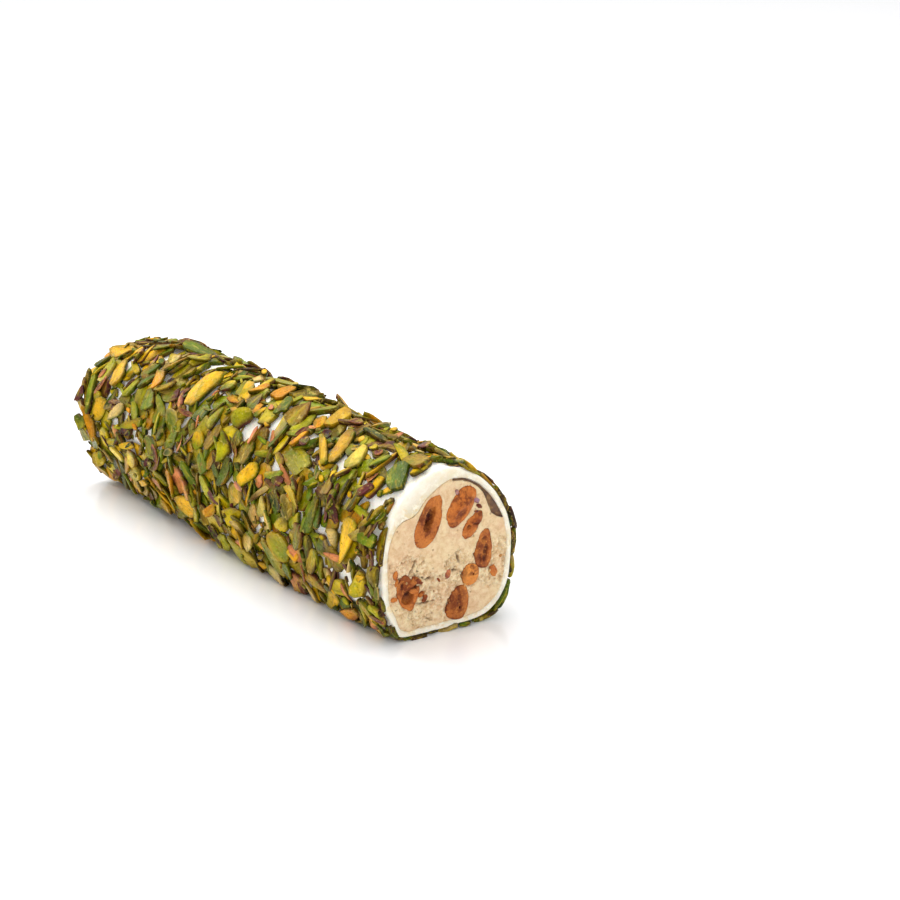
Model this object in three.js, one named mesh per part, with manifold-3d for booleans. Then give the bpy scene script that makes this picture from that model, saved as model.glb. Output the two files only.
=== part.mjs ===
// A roll of Turkish delight. A nougat filling with roasted almonds runs from end to end, a sheet of soft
// white marshmallow is wrapped round it, and pistachio slices are pressed into the sheet all round.
// The roll lies on its flattened underside and is cut square at both ends.
//
// Millimetres, +Z up. The roll runs along Y, with its front cut at -Y, and the origin is the middle of
// the underside. Angles round the section are in degrees from +X, and 90 is straight up.

import * as THREE from "three";
import { mergeVertices } from "three/addons/utils/BufferGeometryUtils.js";
import Module from "manifold-3d";

const wasm = await Module();
wasm.setup();

// ---- driving dimensions ----

const rollLength = 172; // from cut face to cut face
const rollWidth = 42.3; // of the wrapped roll, before its coat
const axisHeight = 21.8; // of the line that the section is drawn round
const crownHeight = 24.8; // from that line to the top of the wrap
const baseDepth = 20.7; // from that line down to the flat underside of the wrap
const leftHaunch = 25.2; // depth that the left side would reach without the flat
const rightHaunch = 21.4; // the right side tucks in sooner, so its lower corner is rounder
const upperFullness = 1.84; // exponent of the section's curve above the line: 2 is an ellipse
const lowerFullness = 3; // and below it, where the sides stand straighter
const cornerSharpness = 26; // how tightly the sides turn into the flat
const bulge = 0.34; // the section bulges a little at three places
const bulgeAngle = 134;

const wrapThickness = 1.9;
const seamExtra = 3.3; // where the ends of the sheet lap over each other
const seamAngle = 110;
const seamSpread = 26;

const coatThickness = 1.25; // of the layer of slices that lies flat against the wrap
const coatBelow = 1.4; // of that layer under the roll, before the floor flattens it
const fitGap = 0.3; // between neighbouring pieces

const swell = 0.35; // how far the sides and the top swell and narrow along the roll
const swellPitch = 40; // of its slow wave along the roll
const sectionSides = 36;
const lengthSpans = 3;

const sliceLength = 13.4; // a pistachio slice of middling size
const sliceWidth = 7.4;
const sliceRise = 1.1; // of its top over the layer of flat slices
const sliceRoot = 0.9; // height of its underside over the wrap, sunk in that layer
const sliceSlope = 0.09; // rise of its top towards one side
const sliceSides = 6;
const slicePitchAlong = 11.4; // between rows of slices
const slicePitchRound = 16.6; // between slices in a row
const sliceTurn = 50; // degrees either way from lying round the roll
const lowestSlice = -0.6; // sine of the lowest angle with a slice: under it the floor has flattened them
const bareRim = 3.2; // widest strip of wrap left bare at the front, along the seam
const rimTrim = 0.4; // the coat stops this far short of the front cut everywhere else

// Slices that hang over the far cut: their place round the section, and how far they reach past it.
const overhangs = [
  { angle: 62, past: 2.6 },
  { angle: 84, past: 4 },
  { angle: 101, past: 2.2 },
  { angle: 128, past: 3 },
];
const overhangTurn = 72; // degrees from lying round the roll

const nutSides = 8;
const nutRings = 6;

// Almonds that show at a cut. x and z place an almond's middle, length and width are those of its cut,
// and lean is degrees from upright, towards +X. depth is how far it goes into the filling. taper narrows
// its upper end, and proud is how far a whole one stands out of the cut.
const frontAlmonds = [
  { name: "long", x: -6.1, z: 32.4, length: 15, width: 7.4, lean: 22, depth: 5.5, taper: 0.12 },
  { name: "top", x: 4.1, z: 34.6, length: 12.6, width: 7, lean: 40, depth: 5, taper: -0.1, proud: 0.9 },
  { name: "lobe", x: 8.1, z: 28.7, length: 8.6, width: 3.8, lean: 41, depth: 4.2, taper: 0.1, proud: 0.4 },
  { name: "right", x: 11.9, z: 21.3, length: 11, width: 5.8, lean: 3, depth: 5, taper: 0.15 },
  { name: "round", x: 7.2, z: 14.8, length: 5.8, width: 5.4, lean: 0, depth: 4.6, taper: 0, proud: 0.5 },
  { name: "low", x: 3.2, z: 8, length: 8.8, width: 6.8, lean: 12, depth: 5, taper: 0.14, proud: 0.3 },
  { name: "broken", x: -13.4, z: 13.6, length: 11, width: 6.2, lean: -12, depth: 4.4, taper: 0.2 },
];
const backAlmonds = [
  { name: "long", x: -11.5, z: 26, length: 14.4, width: 6.6, lean: -14, depth: 5.4, taper: 0.2 },
  { name: "split", x: 1.6, z: 32, length: 10.4, width: 6.6, lean: 24, depth: 5, taper: 0.08 },
  { name: "sliver", x: -4.3, z: 26.5, length: 8.4, width: 3.4, lean: 6, depth: 4, taper: 0.25 },
  { name: "pale", x: 7.2, z: 20.4, length: 10, width: 6.6, lean: -38, depth: 5, taper: -0.12, proud: 0.5 },
  { name: "round", x: 12.3, z: 11.8, length: 8, width: 7.2, lean: 10, depth: 5.2, taper: 0.05, proud: 0.8 },
  { name: "low", x: -3, z: 8.8, length: 9.4, width: 6.2, lean: 68, depth: 4.8, taper: 0.1 },
  { name: "side", x: 13, z: 28.6, length: 8, width: 4, lean: -30, depth: 4, taper: 0.15 },
  { name: "chip", x: -13.2, z: 13, length: 6.4, width: 4.2, lean: 30, depth: 3.8, taper: 0.2 },
];

// A curl of almond skin, caught between the filling and the wrap. It thins out towards its upper end.
const skinCurl = { low: 20, high: 66, thickness: 1.9, depth: 5 };
const skinCurlSteps = 9;

// ---- the section of the roll ----

const degree = Math.PI / 180;

function smoothStep(from, to, value) {
  const share = Math.min(1, Math.max(0, (value - from) / (to - from)));
  return share * share * (3 - 2 * share);
}

// Distance from the roll's line to the outside of the wrap. pressed lowers the flat underside.
function wrapRadius(angle, pressed = 0) {
  const across = Math.cos(angle);
  const up = Math.sin(angle);
  const haunch = across < 0 ? leftHaunch : rightHaunch;
  const depth = up >= 0 ? crownHeight : haunch;
  const fullness = up >= 0 ? upperFullness : lowerFullness;
  const sum = Math.abs((2 * across) / rollWidth) ** fullness + Math.abs(up / depth) ** fullness;
  const round = sum ** (-1 / fullness) + bulge * Math.cos(3 * (angle - bulgeAngle * degree));
  if (up >= 0) return round;
  const flat = (baseDepth + pressed) / Math.max(-up, 1e-6);
  return (round ** -cornerSharpness + flat ** -cornerSharpness) ** (-1 / cornerSharpness);
}

function seamShare(angle) {
  const turn = angle / degree - seamAngle;
  const nearest = turn - 360 * Math.round(turn / 360);
  return Math.exp(-((nearest / seamSpread) ** 2));
}

const wrapOutside = (angle) => wrapRadius(angle);
const wrapInside = (angle) => wrapRadius(angle) - wrapThickness - seamExtra * seamShare(angle);
const fillingOutside = (angle) => wrapInside(angle) - fitGap;
const coatInside = (angle) => wrapRadius(angle) + fitGap;
const coatOutside = (angle) => wrapRadius(angle, coatBelow - coatThickness) + coatThickness;

// It is rolled by hand, so its sides and top swell and narrow a little from end to end.
function swelling(angle, along) {
  const clearOfFloor = smoothStep(-0.8, -0.2, Math.sin(angle));
  return 1 + ((2 * swell) / rollWidth) * clearOfFloor * Math.sin(along / swellPitch + angle);
}

// Swells a geometry that was made round the Y axis, and lifts it to its height over the floor.
function laidOnFloor(geometry) {
  const position = geometry.getAttribute("position");
  for (let i = 0; i < position.count; i++) {
    const scale = swelling(Math.atan2(position.getZ(i), position.getX(i)), position.getY(i));
    position.setX(i, position.getX(i) * scale);
    position.setZ(i, position.getZ(i) * scale + axisHeight);
  }
  return geometry;
}

// Extrudes a shape drawn in the section along the roll, between two distances from its middle.
function extrudedAlong(shape, front, back, steps) {
  return new THREE.ExtrudeGeometry(shape, { depth: back - front, steps, bevelEnabled: false })
    .rotateX(Math.PI / 2)
    .translate(0, back, 0);
}

function sectionPoints(radius) {
  const points = [];
  for (let i = 0; i < sectionSides; i++) {
    const angle = (i / sectionSides) * 2 * Math.PI;
    points.push(new THREE.Vector2(Math.cos(angle), Math.sin(angle)).multiplyScalar(radius(angle)));
  }
  return points;
}

// A layer of the roll, solid if it has no inside.
function layerGeometry(outside, inside = null) {
  const section = new THREE.Shape(sectionPoints(outside));
  if (inside) section.holes.push(new THREE.Path(sectionPoints(inside)));
  return laidOnFloor(extrudedAlong(section, -rollLength / 2, rollLength / 2, lengthSpans));
}

// What the coat is short of the front cut by, at an angle round the section.
const frontTrim = (angle) => rimTrim + bareRim * seamShare(angle);

// Draws both ends of a layer in from the cuts.
function drawnIn(geometry) {
  const position = geometry.getAttribute("position");
  for (let i = 0; i < position.count; i++) {
    const angle = Math.atan2(position.getZ(i) - axisHeight, position.getX(i));
    const backShare = 0.5 + position.getY(i) / rollLength;
    const shift = frontTrim(angle) * (1 - backShare) - rimTrim * backShare;
    position.setY(i, position.getY(i) + shift);
  }
  return geometry;
}

// ---- joins and cuts ----

function toSolid(geometry) {
  const bare = geometry.clone();
  bare.deleteAttribute("normal");
  bare.deleteAttribute("uv");
  const merged = mergeVertices(bare, 1e-4);
  return new wasm.Manifold(
    new wasm.Mesh({
      numProp: 3,
      vertProperties: new Float32Array(merged.getAttribute("position").array),
      triVerts: new Uint32Array(merged.getIndex().array),
    }),
  );
}

function toGeometry(solid) {
  const { vertProperties, triVerts } = solid.getMesh();
  const geometry = new THREE.BufferGeometry();
  geometry.setAttribute("position", new THREE.BufferAttribute(new Float32Array(vertProperties), 3));
  geometry.setIndex(new THREE.BufferAttribute(new Uint32Array(triVerts), 1));
  geometry.computeVertexNormals();
  return geometry;
}

// A cube large enough to cut away everything on one side of the roll.
function blockAt(x, y, z) {
  return toSolid(new THREE.BoxGeometry(rollLength, rollLength, rollLength).translate(x, y, z));
}

const belowFloor = blockAt(0, 0, -rollLength / 2).add(blockAt(0, rollLength / 2, -rollLength / 2));
const beyondFront = blockAt(0, -rollLength, 0);
const beyondBack = blockAt(0, rollLength, 0);

// ---- nuts ----

// An oval turned round its long axis and leant over, with its middle on a cut face. On the filling's side
// it goes depth deep. Outside the face it rises as a low dome where the knife missed a whole almond.
function almondSolid(almond, face, grow = 0) {
  const profile = [];
  for (let i = 0; i <= nutRings; i++) {
    const along = -Math.cos((i / nutRings) * Math.PI);
    const atTip = i === 0 || i === nutRings;
    const width = atTip ? 0 : Math.sqrt(1 - along ** 2) * (1 - almond.taper * along);
    profile.push(new THREE.Vector2(width, along));
  }
  const oval = new THREE.LatheGeometry(profile, nutSides)
    .scale(almond.width / 2 + grow, almond.length / 2 + grow, 1)
    .rotateX(Math.PI / 2)
    .rotateY(almond.lean * degree);
  const position = oval.getAttribute("position");
  const dome = almond.proud ?? almond.depth;
  for (let i = 0; i < position.count; i++) {
    const reach = position.getY(i) * face.outward > 0 ? dome : almond.depth;
    position.setY(i, position.getY(i) * (reach + grow));
  }
  const solid = toSolid(oval.translate(almond.x, face.y, almond.z));
  return almond.proud ? solid : solid.subtract(face.beyond);
}

function skinCurlSolid(grow = 0) {
  const outer = [];
  const inner = [];
  for (let i = 0; i <= skinCurlSteps; i++) {
    const share = i / skinCurlSteps;
    const degrees = skinCurl.low - 2 * grow + share * (skinCurl.high - skinCurl.low + 4 * grow);
    const angle = degrees * degree;
    const fatness = Math.sin(Math.PI * (0.04 + 0.92 * share ** 0.6));
    const radius = wrapInside(angle) - fitGap;
    const way = new THREE.Vector2(Math.cos(angle), Math.sin(angle));
    outer.push(way.clone().multiplyScalar(radius + grow));
    inner.unshift(way.clone().multiplyScalar(radius - skinCurl.thickness * fatness - grow));
  }
  const front = -rollLength / 2 - grow;
  const back = skinCurl.depth + grow - rollLength / 2;
  return toSolid(laidOnFloor(extrudedAlong(new THREE.Shape([...outer, ...inner]), front, back, 1)));
}

// ---- the coat ----

// A repeatable stream of numbers from 0 to 1.
function numberStream(seed) {
  let state = seed;
  return () => {
    state = (state * 1664525 + 1013904223) % 4294967296;
    return state / 4294967296;
  };
}

// A point over the wrap, by its place round the section and along the roll.
function pointOverWrap(angle, along, height) {
  const radius = wrapRadius(angle, coatBelow - coatThickness) * swelling(angle, along) + height;
  return new THREE.Vector3(radius * Math.cos(angle), along, radius * Math.sin(angle) + axisHeight);
}

// One slice, bent to the roll. It lies with its length round the section, then is turned by turn.
function sliceSolid(angle, along, turn, pick) {
  const either = () => 2 * pick() - 1;
  const size = 0.85 + 0.35 * pick();
  const top = coatThickness + sliceRise * (0.6 + 0.8 * pick());
  const slopeRound = sliceSlope * either();
  const slopeAlong = sliceSlope * either();
  const geometry = new THREE.CylinderGeometry(0.93, 1, 1, sliceSides)
    .scale((sliceLength / 2) * size, 1, (sliceWidth / 2) * (0.8 + 0.4 * pick()))
    .rotateY(turn * degree);
  const position = geometry.getAttribute("position");
  for (let i = 0; i < position.count; i++) {
    const [round, height, across] = [position.getX(i), position.getY(i), position.getZ(i)];
    const level = height > 0 ? top + slopeRound * round + slopeAlong * across : sliceRoot;
    const point = pointOverWrap(angle + (2 * round) / rollWidth, along + across, level);
    position.setXYZ(i, point.x, point.y, point.z);
  }
  return toSolid(geometry);
}

// Rows of slices over the sides and the top, each row set half a slice along from the one before.
function scatteredSlices(pick) {
  const slices = [];
  const rows = Math.round(rollLength / slicePitchAlong);
  const perRow = Math.round((Math.PI * rollWidth) / slicePitchRound);
  for (let row = 0; row < rows; row++) {
    for (let i = 0; i < perRow; i++) {
      const angle = ((i + 0.5 * (row % 2) + 0.5 * pick()) / perRow) * 2 * Math.PI;
      if (Math.sin(angle) < lowestSlice) continue;
      const along = (row + 0.3 + 0.4 * pick()) * (rollLength / rows) - rollLength / 2;
      const clearOfRim = row === 0 ? sliceWidth / 4 + frontTrim(angle) : 0;
      slices.push(sliceSolid(angle, along + clearOfRim, sliceTurn * (2 * pick() - 1), pick));
    }
  }
  return slices;
}

function coatSolid() {
  const pick = numberStream(20);
  const hanging = overhangs.map(({ angle, past }) =>
    sliceSolid(angle * degree, rollLength / 2 + past - sliceLength / 2, overhangTurn, pick),
  );
  const join = (coat, slice) => coat.add(slice);
  const cutSquare = scatteredSlices(pick)
    .reduce(join, toSolid(drawnIn(layerGeometry(coatOutside))))
    .subtract(beyondFront)
    .subtract(beyondBack);
  return hanging
    .reduce(join, cutSquare)
    .subtract(toSolid(layerGeometry(coatInside)))
    .subtract(belowFloor);
}

// ---- the object ----

const colours = {
  nougat: 0xdfc49a,
  marshmallow: 0xf2ead9,
  pistachio: 0x9a9430,
  almond: 0xb06a36,
  skin: 0x5a3a22,
};

function addPiece(group, name, solid, colour, roughness) {
  const material = new THREE.MeshStandardMaterial({ color: colour, roughness, metalness: 0 });
  const mesh = new THREE.Mesh(toGeometry(solid), material);
  mesh.name = name;
  group.add(mesh);
}

function buildRoll() {
  const roll = new THREE.Group();
  const faces = [
    { end: "front", almonds: frontAlmonds, y: -rollLength / 2, outward: -1, beyond: beyondFront },
    { end: "back", almonds: backAlmonds, y: rollLength / 2, outward: 1, beyond: beyondBack },
  ];
  let filling = toSolid(layerGeometry(fillingOutside)).subtract(skinCurlSolid(fitGap));
  for (const face of faces) {
    for (const almond of face.almonds) {
      const name = `almond_${face.end}_${almond.name}`;
      addPiece(roll, name, almondSolid(almond, face), colours.almond, 0.45);
      filling = filling.subtract(almondSolid(almond, face, fitGap));
    }
  }
  const wrap = toSolid(layerGeometry(wrapOutside, wrapInside));
  addPiece(roll, "almond_skin_curl", skinCurlSolid(), colours.skin, 0.5);
  addPiece(roll, "nougat_filling", filling, colours.nougat, 0.8);
  addPiece(roll, "marshmallow_wrap", wrap, colours.marshmallow, 0.85);
  addPiece(roll, "pistachio_coat", coatSolid(), colours.pistachio, 0.5);
  return roll;
}

export default buildRoll();
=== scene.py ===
import math
import random

import bmesh
import bpy
import numpy as np
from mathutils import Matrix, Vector, noise


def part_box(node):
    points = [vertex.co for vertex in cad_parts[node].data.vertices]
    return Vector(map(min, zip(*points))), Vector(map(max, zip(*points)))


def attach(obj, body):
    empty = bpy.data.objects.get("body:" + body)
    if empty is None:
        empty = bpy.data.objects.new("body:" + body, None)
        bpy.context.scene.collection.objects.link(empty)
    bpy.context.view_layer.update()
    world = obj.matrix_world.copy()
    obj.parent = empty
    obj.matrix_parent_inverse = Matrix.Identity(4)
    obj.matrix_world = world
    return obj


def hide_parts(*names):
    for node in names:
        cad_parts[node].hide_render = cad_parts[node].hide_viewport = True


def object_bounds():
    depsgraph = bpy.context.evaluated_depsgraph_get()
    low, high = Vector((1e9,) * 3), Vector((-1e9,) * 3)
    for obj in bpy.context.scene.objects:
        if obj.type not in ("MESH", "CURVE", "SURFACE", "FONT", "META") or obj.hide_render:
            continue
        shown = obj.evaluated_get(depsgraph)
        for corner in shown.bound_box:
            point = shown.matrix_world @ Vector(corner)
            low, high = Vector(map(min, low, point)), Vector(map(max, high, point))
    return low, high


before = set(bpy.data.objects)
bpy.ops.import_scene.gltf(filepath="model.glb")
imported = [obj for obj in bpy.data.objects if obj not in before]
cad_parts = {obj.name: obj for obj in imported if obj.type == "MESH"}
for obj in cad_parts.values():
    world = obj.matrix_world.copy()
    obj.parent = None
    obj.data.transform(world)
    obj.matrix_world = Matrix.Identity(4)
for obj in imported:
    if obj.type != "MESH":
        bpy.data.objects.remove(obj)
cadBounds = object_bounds()
mm = 0.001
degree = math.pi / 180
print("frame loaded")


# The roll lies along Y. Round its section an angle of 0 is +X and 90 degrees is straight up.
wrapLow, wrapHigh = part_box("marshmallow_wrap")
frontY = wrapLow.y
backY = wrapHigh.y

roll = {
    "width": 42.3 * mm,
    "axisHeight": 21.8 * mm,
    "crownHeight": 24.8 * mm,
    "baseDepth": 20.7 * mm,
    "leftHaunch": 25.2 * mm,
    "rightHaunch": 21.4 * mm,
    "upperFullness": 1.84,
    "lowerFullness": 3.0,
    "cornerSharpness": 26.0,
    "bulge": 0.34 * mm,
    "bulgeAngle": 134 * degree,
    "wrapThickness": 1.9 * mm,
    "seamExtra": 3.3 * mm,
    "seamAngle": 110.0,
    "seamSpread": 26.0,
    "lap": 2.4 * mm,
    "lapAngle": 129.0,
    "lapSpread": 12.0,
    "swell": 0.35 * mm,
    "swellPitch": 40 * mm,
    "handWave": [(0.35 * mm, 2.2), (0.16 * mm, 9)],     # how far it strays, and how many times round
}


def smoothStep(low, high, value):
    share = np.clip((value - low) / (high - low), 0, 1)
    return share * share * (3 - 2 * share)


def bell(angle, middle, spread):  # 1 at the middle and nearly 0 two spreads away, all in degrees
    away = (angle - middle + 180) % 360 - 180
    return np.exp(-((away / spread) ** 2))


def clamp(value):
    return min(1.0, max(0.0, value))


def wrapRadius(angle):
    across, up = np.cos(angle), np.sin(angle)
    upper = up >= 0
    haunch = np.where(across < 0, roll["leftHaunch"], roll["rightHaunch"])
    depth = np.where(upper, roll["crownHeight"], haunch)
    fullness = np.where(upper, roll["upperFullness"], roll["lowerFullness"])
    total = np.abs(2 * across / roll["width"]) ** fullness + np.abs(up / depth) ** fullness
    rounded = total ** (-1 / fullness) + roll["bulge"] * np.cos(3 * (angle - roll["bulgeAngle"]))
    flat = roll["baseDepth"] / np.maximum(-up, 1e-6)
    sharp = roll["cornerSharpness"]
    scale = roll["width"]
    pressed = scale * ((rounded / scale) ** -sharp + (flat / scale) ** -sharp) ** (-1 / sharp)
    return np.where(upper, rounded, pressed)


def swelling(angle, y):
    clear = smoothStep(-0.8, -0.2, np.sin(angle))   # the underside stays flat
    return 1 + 2 * roll["swell"] / roll["width"] * clear * np.sin(y / roll["swellPitch"] + angle)


# The far end has sunk: its crown sags over the last stretch and its left foot is rounded away.
slump = {
    "crown": 3.2 * mm, "crownFrom": 64 * mm, "crownAngle": 92.0, "crownSpread": 38.0,
    "foot": 2.9 * mm, "footSpan": (-50 * mm, 70 * mm), "footAngle": 220.0, "footSpread": 22.0,
    "footEnd": 0.5 * mm, "footFrom": 56 * mm,
    # the front's left corner is flatter and sharper
    "corner": 1.15 * mm, "cornerSpan": (-60 * mm, 10 * mm), "cornerAngle": 221.0, "cornerSpread": 8.5,
}


def sag(points):  # moves an array of points on the roll to where the sunken far end has them
    x, y, z = points[:, 0], points[:, 1], points[:, 2] - roll["axisHeight"]
    angle = np.degrees(np.arctan2(z, x))
    foot = slump["foot"] * smoothStep(*slump["footSpan"], y)
    drops = {
        "crown": slump["crown"] * smoothStep(slump["crownFrom"], backY, y),
        "foot": foot + slump["footEnd"] * smoothStep(slump["footFrom"], backY, y),
        "corner": slump["corner"] * (1 - smoothStep(*slump["cornerSpan"], y)),
    }
    drop = 0
    for part, most in drops.items():
        drop = drop + most * bell(angle, slump[part + "Angle"], slump[part + "Spread"])
    scale = 1 - drop / wrapRadius(np.radians(angle))
    return np.stack([x * scale, y, z * scale + roll["axisHeight"]], axis=1)


def wrapThickness(angle):
    seam = bell(angle / degree, roll["seamAngle"], roll["seamSpread"])
    return roll["wrapThickness"] + roll["seamExtra"] * seam


def handWave(angle, seed):  # the uneven line where the filling meets the wrap
    round3 = Vector((math.cos(angle), math.sin(angle), seed))
    stray = sum(most * noise.noise(round3 * pitch) for most, pitch in roll["handWave"])
    return stray - roll["lap"] * bell(angle / degree, roll["lapAngle"], roll["lapSpread"])


def sectionPoint(radius, angle, y):
    r = radius * swelling(angle, y)
    return Vector((r * math.cos(angle), y, roll["axisHeight"] + r * math.sin(angle)))


def finishPiece(bm, name, nodes, material):
    mesh = bpy.data.meshes.new(name)
    bm.to_mesh(mesh)
    bm.free()
    spots = np.empty(len(mesh.vertices) * 3)
    mesh.vertices.foreach_get("co", spots)
    mesh.vertices.foreach_set("co", sag(spots.reshape(-1, 3)).ravel())
    mesh.update()
    mesh.polygons.foreach_set("use_smooth", [True] * len(mesh.polygons))
    mesh.materials.append(material)
    piece = bpy.data.objects.new(name, mesh)
    bpy.context.scene.collection.objects.link(piece)
    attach(piece, "root")
    if nodes:
        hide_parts(*nodes)
    print(name, len(mesh.polygons), "faces")
    return piece


# Materials read Object coordinates in metres, so a scale of 1000 gives features about a millimetre wide.
def paint(red, green, blue):
    def linear(value):
        share = value / 255
        return share / 12.92 if share <= 0.04045 else ((share + 0.055) / 1.055) ** 2.4
    return (linear(red), linear(green), linear(blue), 1.0)


def colorVector(color):
    return Vector(paint(*color)[:3])


def startMaterial(name, roughness, softness, softReach, shine=0.5):
    material = bpy.data.materials.new(name)
    material.use_nodes = True
    shader = material.node_tree.nodes["Principled BSDF"]
    shader.inputs["Roughness"].default_value = roughness
    shader.inputs["Specular IOR Level"].default_value = shine
    shader.inputs["Subsurface Weight"].default_value = softness
    shader.inputs["Subsurface Scale"].default_value = softReach
    shader.inputs["Subsurface Radius"].default_value = (1.0, 0.6, 0.35)
    return material, material.node_tree, shader


def addNode(tree, kind, **inputs):
    node = tree.nodes.new("ShaderNode" + kind)
    for key, value in inputs.items():
        socket = node.inputs[key]
        if isinstance(value, bpy.types.NodeSocket):
            tree.links.new(value, socket)
        else:
            socket.default_value = value
    return node


def addNoise(tree, place, scale, detail=3.0, rough=0.55, warp=0.0):
    node = addNode(tree, "TexNoise", Vector=place, Scale=scale, Detail=detail, Roughness=rough,
        Distortion=warp)
    return node.outputs["Fac"]


def addRange(tree, value, low, high, toLow=0.0, toHigh=1.0):
    node = addNode(tree, "MapRange")
    tree.links.new(value, node.inputs["Value"])
    node.inputs["From Min"].default_value = low
    node.inputs["From Max"].default_value = high
    node.inputs["To Min"].default_value = toLow
    node.inputs["To Max"].default_value = toHigh
    return node.outputs["Result"]


def addMath(tree, operation, first, second=0.0):
    node = tree.nodes.new("ShaderNodeMath")
    node.operation = operation
    for socket, value in zip(node.inputs, (first, second)):
        if isinstance(value, bpy.types.NodeSocket):
            tree.links.new(value, socket)
        else:
            socket.default_value = value
    return node.outputs[0]


def addMix(tree, share, first, second, blend="MIX"):
    node = tree.nodes.new("ShaderNodeMix")
    node.data_type = "RGBA"
    node.blend_type = blend
    for index, value in ((0, share), (6, first), (7, second)):
        if isinstance(value, bpy.types.NodeSocket):
            tree.links.new(value, node.inputs[index])
        else:
            node.inputs[index].default_value = value
    return node.outputs[2]


def addAttribute(tree, name, output="Fac"):
    node = tree.nodes.new("ShaderNodeAttribute")
    node.attribute_name = name
    return node.outputs[output]


# Each layer of color: a field, where on it the color starts to show and where it shows most, how much it
# shows there, the color, and for some a share that holds it back.
def addLayers(tree, color, layers):
    for field, start, full, most, layer, *held in layers:
        share = addRange(tree, field, start, full, 0, most)
        for holding in held:
            share = addMath(tree, "MULTIPLY", share, holding)
        color = addMix(tree, share, color, paint(*layer))
    return color


def addBump(tree, shader, distance, strength, *heights):    # each height: a field and its weight
    total = 0.0
    for field, weight in heights:
        total = addMath(tree, "ADD", addMath(tree, "MULTIPLY", field, weight), total)
    bump = addNode(tree, "Bump", Height=total, Distance=distance, Strength=strength)
    tree.links.new(bump.outputs["Normal"], shader.inputs["Normal"])


# Painted glow: a faint emission over the whole wrap that lifts the shaded white between the slices.
foamGlow = 0.08     # stands in for light that soaks through the foam


def marshmallowMaterial():
    material, tree, shader = startMaterial("powdered marshmallow", 0.8, 0.3, 2 * mm, 0.3)
    place = tree.nodes.new("ShaderNodeTexCoord").outputs["Object"]
    soft = addNoise(tree, place, 260, 3, 0.6)
    fine = addNoise(tree, place, 1900, 4, 0.65)
    stain = addNoise(tree, place, 150, 4, 0.6, 0.6)
    blotch = addNoise(tree, place, 200, 4, 0.65, 0.8)
    bright = addNoise(tree, place, 480, 4, 0.7, 0.4)
    crumbs = addNoise(tree, place, 700, 4, 0.7, 0.6)
    cut = addAttribute(tree, "cut")
    color = addLayers(tree, paint(255, 251, 242), [
        (soft, 0.4, 0.62, 1, (248, 240, 220)),
        (stain, 0.66, 0.8, 0.5, (226, 205, 150)),
        (fine, 0.45, 0.3, 0.35, (224, 214, 190)),
        (cut, 0, 1, 0.78, (204, 188, 150)),
        (blotch, 0.52, 0.66, 0.85, (222, 190, 116), cut),
        (bright, 0.5, 0.6, 0.7, (250, 244, 226), cut),
    ])
    tree.links.new(color, shader.inputs["Base Color"])
    # painted glow that lifts the shaded white between the slices
    shader.inputs["Emission Color"].default_value = paint(255, 250, 246)
    shader.inputs["Emission Strength"].default_value = foamGlow
    addBump(tree, shader, 0.22 * mm, 0.9, (soft, 1.6), (fine, 1), (crumbs, 1.2))
    return material


def nougatMaterial():
    material, tree, shader = startMaterial("nougat", 0.62, 0.25, 1.4 * mm, 0.3)
    place = tree.nodes.new("ShaderNodeTexCoord").outputs["Object"]
    broad = addNoise(tree, place, 120, 3, 0.5)
    grain = addNoise(tree, place, 900, 5, 0.68, 0.4)
    fine = addNoise(tree, place, 2600, 4, 0.7)
    mottle = addNoise(tree, place, 420, 4, 0.6, 0.5)
    crumble = addAttribute(tree, "crumble")
    fleckCells = addNode(tree, "TexVoronoi", Vector=place, Scale=430)
    fleckPick = addNode(tree, "SeparateColor", Color=fleckCells.outputs["Color"]).outputs["Red"]
    fewFlecks = addMath(tree, "GREATER_THAN", fleckPick, 0.7)
    color = addLayers(tree, paint(234, 206, 160), [
        (broad, 0.4, 0.6, 1, (228, 192, 150)),
        (mottle, 0.5, 0.62, 0.6, (240, 216, 174)),
        (mottle, 0.48, 0.36, 0.5, (210, 168, 120)),
        (grain, 0.52, 0.62, 0.85, (248, 230, 192), addRange(tree, crumble, 0, 1, 0.35, 1)),
        (grain, 0.46, 0.36, 0.75, (186, 142, 94), addRange(tree, crumble, 0, 1, 0.4, 1)),
        (fleckCells.outputs["Distance"], 0.17, 0.1, 0.6, (150, 104, 66), fewFlecks),
        # painted shade: the shade attribute darkens the cracks, pits, gaps between crumbs, the seam with the
        # wrap and patches round the almonds
        (addAttribute(tree, "shade"), 0, 1, 1, (104, 66, 40)),
    ])
    tree.links.new(color, shader.inputs["Base Color"])
    addBump(tree, shader, 0.26 * mm, 0.85, (grain, 1.5), (fine, 1))
    return material


def roastedMaterial():
    material, tree, shader = startMaterial("roasted almond", 0.36, 0.0, 1 * mm, 0.14)
    place = tree.nodes.new("ShaderNodeTexCoord").outputs["Object"]
    broad = addNoise(tree, place, 150, 3, 0.5, 0.4)
    patches = addNoise(tree, place, 330, 4, 0.6, 0.5)
    fine = addNoise(tree, place, 1700, 4, 0.65)
    color = addLayers(tree, addAttribute(tree, "tint", "Color"), [
        (broad, 0.48, 0.62, 0.5, (196, 112, 48)),
        (broad, 0.48, 0.36, 0.6, (98, 42, 20)),
        (patches, 0.54, 0.64, 0.6, (206, 128, 58)),
        (patches, 0.47, 0.38, 0.7, (96, 38, 16)),
        (fine, 0.44, 0.34, 0.5, (92, 36, 10)),
        (fine, 0.57, 0.68, 0.45, (228, 148, 64)),
    ])
    tree.links.new(color, shader.inputs["Base Color"])
    tree.links.new(addRange(tree, fine, 0.3, 0.7, 0.26, 0.5), shader.inputs["Roughness"])
    addBump(tree, shader, 0.14 * mm, 0.8, (patches, 1.4), (fine, 1))
    return material


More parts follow.
